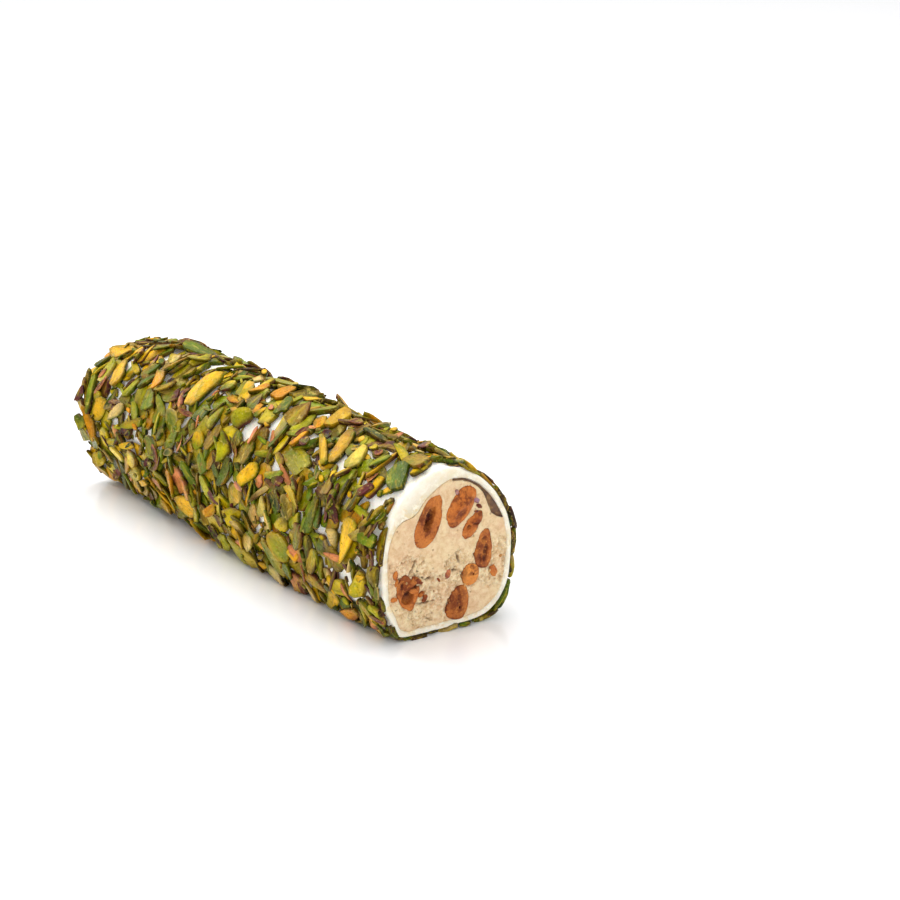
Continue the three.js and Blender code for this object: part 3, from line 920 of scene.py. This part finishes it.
def makeBrokenBits(material):
    bm = bmesh.new()
    tintLayer = bm.verts.layers.float_color.new("tint")
    for side, cut in cuts.items():
        pick = random.Random(int(cut["seed"] * 10))
        for x, z, length, width, lean, proud, color in strewnBits(side, pick) + fineCrumbs(cut, pick):
            flesh = colorVector(color)
            verts = bmesh.ops.create_icosphere(bm, subdivisions=4, radius=1)["verts"]
            sine, cosine = math.sin(lean * degree), math.cos(lean * degree)
            for vert in verts:
                ball = vert.co.copy()
                spot = ball * 1.6 + Vector((x, z, lean))
                swollen = 1 + 0.28 * noise.noise(spot) + 0.1 * noise.noise(spot * 3)
                up, aside = ball.z * length / 2 * swollen, ball.x * width / 2 * swollen
                deep = ball.y * (proud if ball.y < 0 else 1.2) * swollen
                across = x + up * sine + aside * cosine
                height = z + up * cosine - aside * sine
                vert.co = (across * mm, cut["y"] + cut["inward"] * deep * mm, height * mm)
                vert[tintLayer] = (*(flesh * (0.9 + 0.25 * noise.noise(spot * 2.5))), 1)
    bmesh.ops.recalc_face_normals(bm, faces=bm.faces)
    return finishPiece(bm, "almond_crumbs", [], material)


# The coat is laid on the roll's outside unrolled flat: "round" is the way round the section from the
# angle 0, "along" the way from the front cut to the back, both in metres.
outlineSteps = 1440
outlineAngles = np.arange(outlineSteps + 1) * (2 * np.pi / outlineSteps)
outlineX = wrapRadius(outlineAngles) * np.cos(outlineAngles)
outlineZ = wrapRadius(outlineAngles) * np.sin(outlineAngles)
outlineRound = np.concatenate([[0], np.cumsum(np.hypot(np.diff(outlineX), np.diff(outlineZ)))])
girth = outlineRound[-1]
rollLength = backY - frontY


def smoothedRing(values, reach):
    kernel = np.hanning(2 * reach + 1)
    ring = np.concatenate([values[-reach - 1:-1], values, values[1:reach + 1]])
    return np.convolve(ring, kernel / kernel.sum(), "valid")


tangentX = smoothedRing(np.gradient(outlineX, outlineRound), 12)
tangentZ = smoothedRing(np.gradient(outlineZ, outlineRound), 12)
tangentSize = np.hypot(tangentX, tangentZ)
tangentX, tangentZ = tangentX / tangentSize, tangentZ / tangentSize
bendRate = smoothedRing(np.gradient(np.unwrap(np.arctan2(tangentZ, tangentX)), outlineRound), 20)


def outlineAt(distance, values):
    return np.interp(np.mod(distance, girth), outlineRound, values)


def roundAt(angle):
    return float(np.interp(np.mod(angle, 2 * np.pi), outlineAngles, outlineRound))


coat = {
    "cell": 0.6 * mm,           # of the map that remembers how high the coat already is
    "sink": 0.22 * mm,          # how far a slice presses into what it lies on
    "mostTilt": 0.42,
    "mostHeight": 3.4 * mm,
    "mostBelow": 0.9 * mm,      # under the roll its weight has pressed the coat flat
    "bend": 0.5,                # 0 keeps a slice flat, 1 wraps it to the roll
    "frontTrim": 0.15 * mm,     # what sticks out past the front cut was cut off with it
    "backOverhang": 4.6 * mm,
    "floorGap": 0.03 * mm,
    "outside": 1.2 * mm,        # how far a slice may stand out of the solids' box
    "deepest": -0.35 * mm,      # a slice may press into the wrap as far as this
    "restShare": 82,            # percent of what lies under a slice that is lower than where it rests
    "pressedFrom": 7 * mm, "pressedTilt": 0.1,      # near the front cut the knife pressed them flat
    "tightCurve": 60, "mostCurve": 120, "bendMore": 0.004, "mostBend": 0.95,     # curves are 1 / metres
    "edgeBare": 0.7 * mm,
    "mostBare": 0.06,           # share of a slice that may lie on a bare place
    "turnedShare": 0.3,         # of the strewn pieces, which lie any way round
    "attempts": 4,              # pieces cut for each that is to lie
}

# The wrap stays bare for this far from the front cut, and further round two middles: extra, angle, spread.
bareRim = {"least": 0.4 * mm, "wider": [(3.4 * mm, 122, 24), (2.4 * mm, 48, 20)]}

cellsRound = int(girth / coat["cell"])
cellsAlong = int((rollLength + coat["backOverhang"]) / coat["cell"]) + 1
cellRound = girth / cellsRound
coverHeight = np.zeros((cellsRound, cellsAlong))
coverCount = np.zeros((cellsRound, cellsAlong))
bareCells = np.zeros((cellsRound, cellsAlong), bool)
keptCells = np.zeros((cellsRound, cellsAlong), bool)   # under the large pieces, which stay on top
supported = (np.arange(cellsAlong) + 0.5) * coat["cell"] < rollLength

# Places where the white shows between the slices, strewn round the roll, more and larger ones near the
# front: how many, from and to along, least and most radius in millimetres.
bareBands = [
    (4, 5, 50, 2.4, 3.6), (7, 30, 168, 2.0, 3.4), (24, 1, 30, 1.0, 2.0), (24, 30, 70, 0.9, 1.9),
    (30, 70, 168, 0.9, 1.8),
]
bareAngles = (-30, 210)     # the floor hides the rest


pistachioPaints = {
    "golden": (234, 176, 10), "amber": (216, 140, 2), "butter": (230, 200, 70), "lemon": (206, 178, 6),
    "lime": (160, 154, 6), "leaf": (114, 128, 4), "green": (84, 106, 6), "deep": (44, 58, 6),
    "olive": (146, 114, 8), "moss": (104, 84, 6), "bark": (88, 54, 14), "plum": (100, 40, 42),
    "wine": (58, 22, 28), "rose": (224, 136, 84), "straw": (220, 186, 110),
}


# One way of cutting a pistachio: sizes in millimetres from least to most, and how its outline may vary.
def cutting(count, length, width, thickness, fullness, paints, edges, wander=30):
    return {"count": count, "length": length, "width": width, "thickness": thickness, "fullness": fullness,
            "paints": paints, "edges": edges, "wander": wander}


fleshPaints = ["golden"] * 5 + ["amber"] * 3 + ["lemon"] * 5 + ["lime"] * 6 + ["leaf"] * 6 + ["green"] * 5
fleshPaints += ["olive"] * 6 + ["moss"] * 4 + ["deep"] * 3 + ["straw"] * 2 + ["butter"] * 2
fleshPaints += ["rose", "plum", "bark"]
stickPaints = ["lime"] * 3 + ["leaf"] * 4 + ["green"] * 4 + ["olive"] * 5 + ["moss"] * 4 + ["golden"] * 3
stickPaints += ["amber", "lemon", "lemon", "straw", "plum", "plum", "bark", "bark", "deep", "deep"]
edgePaints = ["deep"] * 4 + ["green"] * 3 + ["moss"] * 4 + ["bark"] * 3 + ["plum"] * 5
edgePaints += ["wine"] * 2 + ["straw"]
skinPaints = ["plum", "wine", "plum", "bark", "rose"]
chipPaints = stickPaints + ["plum", "wine", "rose", "deep"]

cuttings = {
    "slices": cutting(860, (5.5, 10.5), (3.8, 7.0), (0.7, 1.5), (1.7, 3.0), fleshPaints, edgePaints, 40),
    "sticks": cutting(230, (7.0, 13.0), (1.5, 2.7), (0.9, 1.7), (2.0, 4.0), stickPaints, edgePaints, 42),
    "skins": cutting(150, (3.5, 8.5), (1.2, 3.4), (0.3, 0.55), (1.7, 2.4), skinPaints,
        ["wine", "plum", "rose"], 60),
    "chips": cutting(1020, (1.6, 5.2), (0.8, 2.3), (0.4, 1.1), (1.8, 3.5), chipPaints, edgePaints, 90),
}

# How the coat is strewn, below and above the large pieces: kind, share of its count, how many places are
# tried for each piece, and how much of it may lie on a large one.
strewnBelow = [("slices", 0.6, 5, 1), ("sticks", 0.45, 5, 1), ("chips", 0.5, 6, 1)]
strewnAbove = [
    ("sticks", 0.55, 10, 0.04), ("slices", 0.4, 10, 0.04), ("skins", 1, 5, 0.04), ("chips", 0.5, 10, 0.1),
]

# Large pieces strewn over the rest: kind, how many, length and width from least to most in millimetres, most
# turn from lying round the roll, colors and colors of the edge.
largePieces = [
    ("slices", 46, (10, 14), (5, 9), 75, ["golden", "golden", "amber", "lime", "leaf", "green"],
        ["deep", "moss", "olive", "amber"]),
    ("sticks", 12, (13, 16), (2.6, 3.4), 80, ["golden", "leaf", "deep", "plum"], ["moss", "deep", "wine"]),
]
# How the large ones are laid: places tried for each, how much of one may lie on another, how many are cut
# for each that stays, and how much of the usual taper, tip and nicks they have.
largeLaying = {"tries": 3, "mostKept": 0.15, "attempts": 12, "taper": 0.5, "tip": 0.6, "nick": 0.4}

# Thin slices that lie along the front cut, down its right side and under it.
rimStrips = {"along": 1.4 * mm, "length": (7, 11), "width": (2, 2.8), "angles": (70, -70), "step": -18}

# Sticks and slices that stand out past the far cut: kind, angle, how far past it their middle lies, length,
# width, turn.
farOverhangs = [
    ("slices", 28, -2.8, 10, 4.6, 58), ("slices", 350, -3.4, 9, 4.4, 48),
    ("sticks", 48, -3.6, 11, 2.6, 74), ("slices", 8, -3.0, 10, 3.0, 60),
]


# Rings of a cut piece from the middle of its upper face down to its underside: share of the way out to the
# outline, height as a share of the thickness, how much of the edge's color shows, and how light it is.
# How light each ring is, is painted light: the middle of the upper face a little lighter, the sides and
# underside darker as painted shade.
pieceRings = [
    (0.0, 1.0, 0.0, 1.06), (0.6, 1.0, 0.05, 1.03), (0.93, 0.96, 0.52, 0.9), (1.0, 0.6, 1.0, 0.66),
    (0.94, 0.0, 1.0, 0.4), (0.0, 0.0, 0.6, 0.4),
]
sharpRing = 2
pieceSegments = 12


def makeBlank():
    blank = bmesh.new()
    blank.verts.layers.float_color.new("tint")
    blank.verts.layers.float_vector.new("grain")
    bmesh.ops.create_uvsphere(blank, u_segments=pieceSegments, v_segments=len(pieceRings) - 1, radius=1)
    for edge in blank.edges:
        if all(ringOf(vert) == sharpRing for vert in edge.verts):
            edge.smooth = False     # a knife's crisp edge round the upper face
    return blank


def ringOf(vert):
    return round(math.acos(max(-1.0, min(1.0, vert.co.z))) / math.pi * (len(pieceRings) - 1))


def someNotches(pick):  # every second piece has a nick in its outline
    if pick.random() >= 0.5:
        return ()
    return [(pick.uniform(0, 360), pick.uniform(14, 30), pick.uniform(0.12, 0.4))]


def newPiece(pick, kind, length=None, width=None, turn=None, flesh=None, edge=None):
    cutting = cuttings[kind]
    fullness = pick.uniform(*cutting["fullness"])
    return {
        "length": length or pick.uniform(*cutting["length"]) * mm,
        "width": width or pick.uniform(*cutting["width"]) * mm,
        "thickness": pick.uniform(*cutting["thickness"]) * mm,
        "fullness": fullness,
        "taper": pick.uniform(-0.35, 0.35),
        "bend": pick.uniform(-0.3, 0.3),
        "uneven": pick.uniform(0.05, 0.17),
        "seed": pick.uniform(0, 40),
        "notches": someNotches(pick),
        "flatSide": pick.choice([1, 1, 0.75, 0.4, 0.15]) if kind == "slices" else 1,
        "cutEnd": pick.choice([1, 1, 0.85, 0.6]) if kind != "skins" else 1,
        "turn": pick.gauss(0, cutting["wander"] * degree) if turn is None else turn,
        "dish": pick.uniform(-0.4, 0.3),
        "rough": pick.uniform(0.06, 0.2),
        "arch": pick.uniform(-0.4, 0.9) * mm if kind != "chips" else 0,
        "twist": pick.gauss(0, 0.16),
        "tip": np.array([pick.gauss(0, 0.1), pick.gauss(0, 0.12)]),
        "flesh": Vector(paint(*pistachioPaints[flesh or pick.choice(cutting["paints"])])[:3]),
        "second": Vector(paint(*pistachioPaints[pick.choice(cutting["paints"])])[:3]),
        "secondShare": pick.choice([0, 0.3, 0.6, 0.9]) if flesh is None else 0.25,
        "secondTurn": pick.uniform(0, 2 * math.pi),
        "skinSide": pick.uniform(0, 2 * math.pi),
        "skinLeast": pick.choice([0.1, 0.3, 0.6, 0.9]),
        "edge": Vector(paint(*pistachioPaints[edge or pick.choice(cutting["edges"])])[:3]),
        "shade": pick.uniform(0.77, 1.21),
    }


def footprint(piece, middleRound, middleAlong):  # the cells of the map that a piece covers
    reach = piece["length"] / 2 + piece["width"] * 0.3
    firstRow = int((middleRound - reach) / cellRound)
    rows = np.arange(firstRow, int((middleRound + reach) / cellRound) + 1)
    columns = np.arange(max(0, int((middleAlong - reach) / coat["cell"])),
        min(cellsAlong - 1, int((middleAlong + reach) / coat["cell"])) + 1)
    ds = ((rows + 0.5) * cellRound - middleRound)[:, None] + np.zeros(len(columns))
    dy = ((columns + 0.5) * coat["cell"] - middleAlong)[None, :] + np.zeros(len(rows))[:, None]
    sine, cosine = math.sin(piece["turn"]), math.cos(piece["turn"])
    up = ds * cosine + dy * sine
    across = ds * sine - dy * cosine
    inside = ovalShare(piece, up, across) < 0.95
    inside &= up < piece["cutEnd"] * piece["length"] / 2
    inside &= across > -piece["flatSide"] * piece["width"] / 2
    rowGrid, columnGrid = np.meshgrid(np.mod(rows, cellsRound), columns, indexing="ij")
    return rowGrid[inside], columnGrid[inside], ds[inside], dy[inside]


def layPiece(bm, scratch, blank, piece, middleRound, middleAlong, onTop=False):
    rows, columns, ds, dy = footprint(piece, middleRound, middleAlong)
    held = supported[columns]
    if held.sum() < 3:
        return False
    curve = float(outlineAt(middleRound, bendRate))
    bend = min(coat["mostBend"], coat["bend"] + coat["bendMore"] * max(0.0, curve - coat["tightCurve"]))
    gap = (1 - bend) * ds * ds * min(curve, coat["mostCurve"]) / 2
    below = coverHeight[rows, columns]
    fit = np.stack([np.ones(held.sum()), ds[held], dy[held]], axis=1)
    rest = (below - gap)[held]
    slope = np.linalg.lstsq(fit, rest, rcond=None)[0][1:]
    slope = np.clip(slope + piece["tip"], -coat["mostTilt"], coat["mostTilt"])
    if middleAlong < coat["pressedFrom"]:
        slope = np.clip(slope, -coat["pressedTilt"], coat["pressedTilt"])
    over = rest - slope[0] * ds[held] - slope[1] * dy[held]
    height = max(coat["deepest"], float(np.percentile(over, coat["restShare"])) - coat["sink"])
    normalZ = -float(outlineAt(middleRound, tangentX))
    under = float(smoothStep(-0.6, -0.9, np.array(normalZ)))
    most = coat["mostHeight"] + (coat["mostBelow"] - coat["mostHeight"]) * under
    thickness = piece["thickness"]
    if not onTop and height + thickness > most:
        if under < 0.5 or height > 0.3 * mm:
            return False
    level = height + slope[0] * ds + slope[1] * dy + gap + thickness
    coverHeight[rows, columns] = np.maximum(below, level)
    coverCount[rows, columns] += 1
    if onTop:
        keptCells[rows, columns] = True
    placeVerts(blank, scratch, bm, piece, middleRound, middleAlong, height, slope, bend, most)
    return True


def placeVerts(blank, scratch, bm, piece, middleRound, middleAlong, height, slope, bend, most):
    one = blank.copy()
    tintLayer = one.verts.layers.float_color["tint"]
    grainLayer = one.verts.layers.float_vector["grain"]
    sine, cosine = math.sin(piece["turn"]), math.cos(piece["turn"])
    half = piece["length"] / 2
    flesh, second, edge = [piece[part] * piece["shade"] for part in ("flesh", "second", "edge")]
    ups, acrosses, levels, tints = [], [], [], []
    for vert in one.verts:
        ring = ringOf(vert)
        share, lift, edgeShare, light = pieceRings[ring]
        up, across = ovalPoint(piece, math.atan2(vert.co.y, vert.co.x), share)
        if ring:
            up = min(up, piece["cutEnd"] * half * (0.6 + 0.4 * share))
            across = max(across, -piece["flatSide"] * piece["width"] / 2 * (0.7 + 0.3 * share))
        dish = piece["dish"] * (1 - share * share) if ring < 3 else 0
        if ring < 4:
            dish += piece["rough"] * noise.noise(Vector((vert.co.x * 1.9, vert.co.y * 1.9, piece["seed"])))
        level = piece["thickness"] * (lift + dish)
        level += piece["arch"] * (up / half) ** 2 * 0.5 + piece["twist"] * across * up / half
        ups.append(up)
        acrosses.append(across)
        levels.append(level)
        turn = piece["secondTurn"]
        toSecond = 0.5 + 0.9 * (vert.co.x * math.cos(turn) + vert.co.y * math.sin(turn))
        toSecond = clamp(toSecond) * piece["secondShare"]
        toSkin = 0.6 + math.cos(math.atan2(vert.co.y, vert.co.x) - piece["skinSide"])
        edgeShare *= min(1.0, max(piece["skinLeast"], toSkin))
        # light is the ring's painted light and shade
        tints.append(flesh.lerp(second, toSecond).lerp(edge, edgeShare) * light)
    up, across, level = np.array(ups), np.array(acrosses), np.array(levels)
    ds = up * cosine + across * sine
    dy = up * sine - across * cosine
    lift = height + slope[0] * ds + slope[1] * dy + level
    middleX, middleZ = outlineAt(middleRound, outlineX), outlineAt(middleRound, outlineZ)
    wayX, wayZ = outlineAt(middleRound, tangentX), outlineAt(middleRound, tangentZ)
    flatX = middleX + wayX * ds + wayZ * lift
    flatZ = middleZ + wayZ * ds - wayX * lift
    there = middleRound + ds
    wrappedX = outlineAt(there, outlineX) + outlineAt(there, tangentZ) * lift
    wrappedZ = outlineAt(there, outlineZ) - outlineAt(there, tangentX) * lift
    x = flatX + (wrappedX - flatX) * bend
    z = flatZ + (wrappedZ - flatZ) * bend
    y = frontY + middleAlong + dy
    grow = swelling(np.arctan2(z, x), y)
    x, z = x * grow, z * grow + roll["axisHeight"]
    y = np.clip(y, frontY - coat["frontTrim"], backY + coat["backOverhang"])
    z = np.clip(z, coat["floorGap"], cadBounds[1][2] + coat["outside"])
    x = np.clip(x, cadBounds[0][0] - coat["outside"], cadBounds[1][0] + coat["outside"])
    seed = piece["seed"]
    for i, vert in enumerate(one.verts):
        vert.co = (x[i], y[i], z[i])
        vert[tintLayer] = (*tints[i], 1)
        vert[grainLayer] = (up[i] + seed * 0.01, across[i] + seed * 0.003, level[i])
    one.to_mesh(scratch)
    one.free()
    bm.from_mesh(scratch)


def leastCovered(pick, tries):
    best = None
    for attempt in range(tries):
        row, column = pick.randrange(cellsRound), pick.randrange(int(rollLength / coat["cell"]))
        near = coverCount[np.mod(np.arange(row - 3, row + 4), cellsRound)[:, None],
            np.clip(np.arange(column - 3, column + 4), 0, cellsAlong - 1)[None, :]]
        score = near.mean() + pick.uniform(0, 0.25)
        if best is None or score < best[0]:
            best = (score, (row + 0.5) * cellRound, (column + 0.5) * coat["cell"])
    return best[1], best[2]


def bareMargin(angle):
    return bareRim["least"] + sum(more * bell(angle / degree, *there) for more, *there in bareRim["wider"])


def fitsThere(piece, middleRound, middleAlong, mostKept):
    rows, columns, ds, dy = footprint(piece, middleRound, middleAlong)
    if len(rows) == 0:
        return False
    if bareCells[rows, columns].mean() > coat["mostBare"] or keptCells[rows, columns].mean() > mostKept:
        return False
    angle = float(outlineAt(middleRound, outlineAngles))
    return columns.min() * coat["cell"] >= bareMargin(angle) - coat["edgeBare"]


def markBarePlaces(pick):
    roundPlaces = (np.arange(cellsRound) + 0.5) * cellRound
    alongPlaces = (np.arange(cellsAlong) + 0.5) * coat["cell"]
    for count, nearest, farthest, least, most in bareBands:
        for spot in range(count):
            middle = roundAt(pick.uniform(*bareAngles) * degree)
            along, radius = pick.uniform(nearest, farthest) * mm, pick.uniform(least, most) * mm
            away = np.mod(roundPlaces - middle + girth / 2, girth) - girth / 2
            bareCells[np.hypot(away[:, None], alongPlaces[None, :] - along) < radius] = True


def layCoat():
    pick = random.Random(27)
    blank = makeBlank()
    scratch = bpy.data.meshes.new("scratch")
    meshes = {}
    for kind in cuttings:
        meshes[kind] = bmesh.new()
        meshes[kind].verts.layers.float_color.new("tint")
        meshes[kind].verts.layers.float_vector.new("grain")
    places = random.Random(8)
    markBarePlaces(places)

    def scatter(kind, share, tries, mostKept):
        count = round(cuttings[kind]["count"] * share)
        laid = 0
        for attempt in range(count * coat["attempts"]):
            if laid >= count:
                break
            piece = newPiece(pick, kind)
            if pick.random() < coat["turnedShare"]:
                piece["turn"] = pick.uniform(-math.pi / 2, math.pi / 2)
            middleRound, middleAlong = leastCovered(pick, tries)
            if fitsThere(piece, middleRound, middleAlong, mostKept):
                laid += layPiece(meshes[kind], scratch, blank, piece, middleRound, middleAlong)
        print(kind, laid)

    for strewing in strewnBelow:
        scatter(*strewing)
    for kind, count, lengths, widths, mostTurn, fleshes, edges in largePieces:
        laid = 0
        for attempt in range(count * largeLaying["attempts"]):
            if laid >= count:
                break
            piece = newPiece(places, kind, places.uniform(*lengths) * mm, places.uniform(*widths) * mm,
                places.uniform(-mostTurn, mostTurn) * degree, places.choice(fleshes), places.choice(edges))
            piece["taper"] *= largeLaying["taper"]
            piece["tip"] *= largeLaying["tip"]
            nick = largeLaying["nick"]
            piece["notches"] = [(middle, spread, depth * nick) for middle, spread, depth in piece["notches"]]
            middleRound, middleAlong = leastCovered(places, largeLaying["tries"])
            if fitsThere(piece, middleRound, middleAlong, largeLaying["mostKept"]):
                laid += layPiece(meshes[kind], scratch, blank, piece, middleRound, middleAlong, True)
        print("large", kind, laid)
    for angle in range(*rimStrips["angles"], rimStrips["step"]):
        length, width = [pick.uniform(*rimStrips[size]) * mm for size in ("length", "width")]
        piece = newPiece(pick, "slices", length, width, pick.uniform(-5, 5) * degree)
        layPiece(meshes["slices"], scratch, blank, piece, roundAt(angle * degree), rimStrips["along"], True)
    for kind, angle, past, length, width, turn in farOverhangs:
        piece = newPiece(pick, kind, length * mm, width * mm, turn * degree)
        layPiece(meshes[kind], scratch, blank, piece, roundAt(angle * degree), rollLength + past * mm, True)
    for strewing in strewnAbove:
        scatter(*strewing)
    print("bare share of the coat", round(float((coverCount[:, supported] == 0).mean()), 3))
    blank.free()
    bpy.data.meshes.remove(scratch)
    finishes = {
        "slices": pistachioMaterial("pistachio slices", 620, 0.34),
        "sticks": pistachioMaterial("pistachio sticks", 800, 0.4),
        "skins": pistachioMaterial("pistachio skins", 950, 0.36),
        "chips": pistachioMaterial("pistachio chips", 900, 0.44),
    }
    for kind, bm in meshes.items():
        bmesh.ops.recalc_face_normals(bm, faces=bm.faces)
        finishPiece(bm, "pistachio_" + kind, ["pistachio_coat"], finishes[kind])


studio = {
    "floorHalf": 6.0,
    "floor": (245, 245, 247),
    "cameraAt": (-0.3629, -0.6070, 0.2477),
    "cameraPitch": 72.8 * degree,
    "cameraHeading": -34.9 * degree,
    "lens": 100.96,
    "sensor": 36,
    "nearest": 0.01,
    "skyStrength": 0.84,
    "lights": {     # where it is, what it points at, its size and its power
        "overhead softbox": ((0.15, 0.4, 1.2), (0, 0, 0.02), 1.1, 14),
        "window": ((-0.3, 1.0, 0.6), (0, 0, 0.03), 0.3, 4),
        "front softbox": ((-0.25, -1.2, 0.6), (0, -0.06, 0.03), 0.6, 3.0),
    },
}


def makeStudio():
    scene = bpy.context.scene
    bm = bmesh.new()
    bmesh.ops.create_grid(bm, x_segments=8, y_segments=8, size=studio["floorHalf"])
    mesh = bpy.data.meshes.new("floor")
    bm.to_mesh(mesh)
    bm.free()
    floor = bpy.data.objects.new("floor", mesh)
    scene.collection.objects.link(floor)
    material, tree, shader = startMaterial("white table", 0.16, 0.0, 1 * mm)
    shader.inputs["Base Color"].default_value = paint(*studio["floor"])
    mesh.materials.append(material)
    world = bpy.data.worlds.new("studio")
    world.use_nodes = True
    world.node_tree.nodes["Background"].inputs["Color"].default_value = (1, 1, 1, 1)
    world.node_tree.nodes["Background"].inputs["Strength"].default_value = studio["skyStrength"]
    scene.world = world
    for name, (spot, aim, size, power) in studio["lights"].items():
        data = bpy.data.lights.new(name, "AREA")
        data.shape = "SQUARE"
        data.size = size
        data.energy = power
        light = bpy.data.objects.new(name, data)
        light.location = spot
        light.rotation_euler = (Vector(aim) - Vector(spot)).to_track_quat("-Z", "Y").to_euler()
        scene.collection.objects.link(light)
    data = bpy.data.cameras.new("camera")
    data.lens = studio["lens"]
    data.sensor_width = studio["sensor"]
    data.clip_start = studio["nearest"]
    camera = bpy.data.objects.new("camera", data)
    camera.location = studio["cameraAt"]
    camera.rotation_euler = (studio["cameraPitch"], 0, studio["cameraHeading"])
    scene.collection.objects.link(camera)
    scene.camera = camera
    scene.view_settings.view_transform = "Standard"
    print("studio ready")


makeNougat()
makeWrap()
almondMaterial = roastedMaterial()
for cut in cuts.values():
    for name, nut in cut["almonds"].items():
        makeAlmond(name, nut, cut, almondMaterial)
makeSkinCurl()
makeBrokenBits(almondMaterial)
layCoat()
makeStudio()
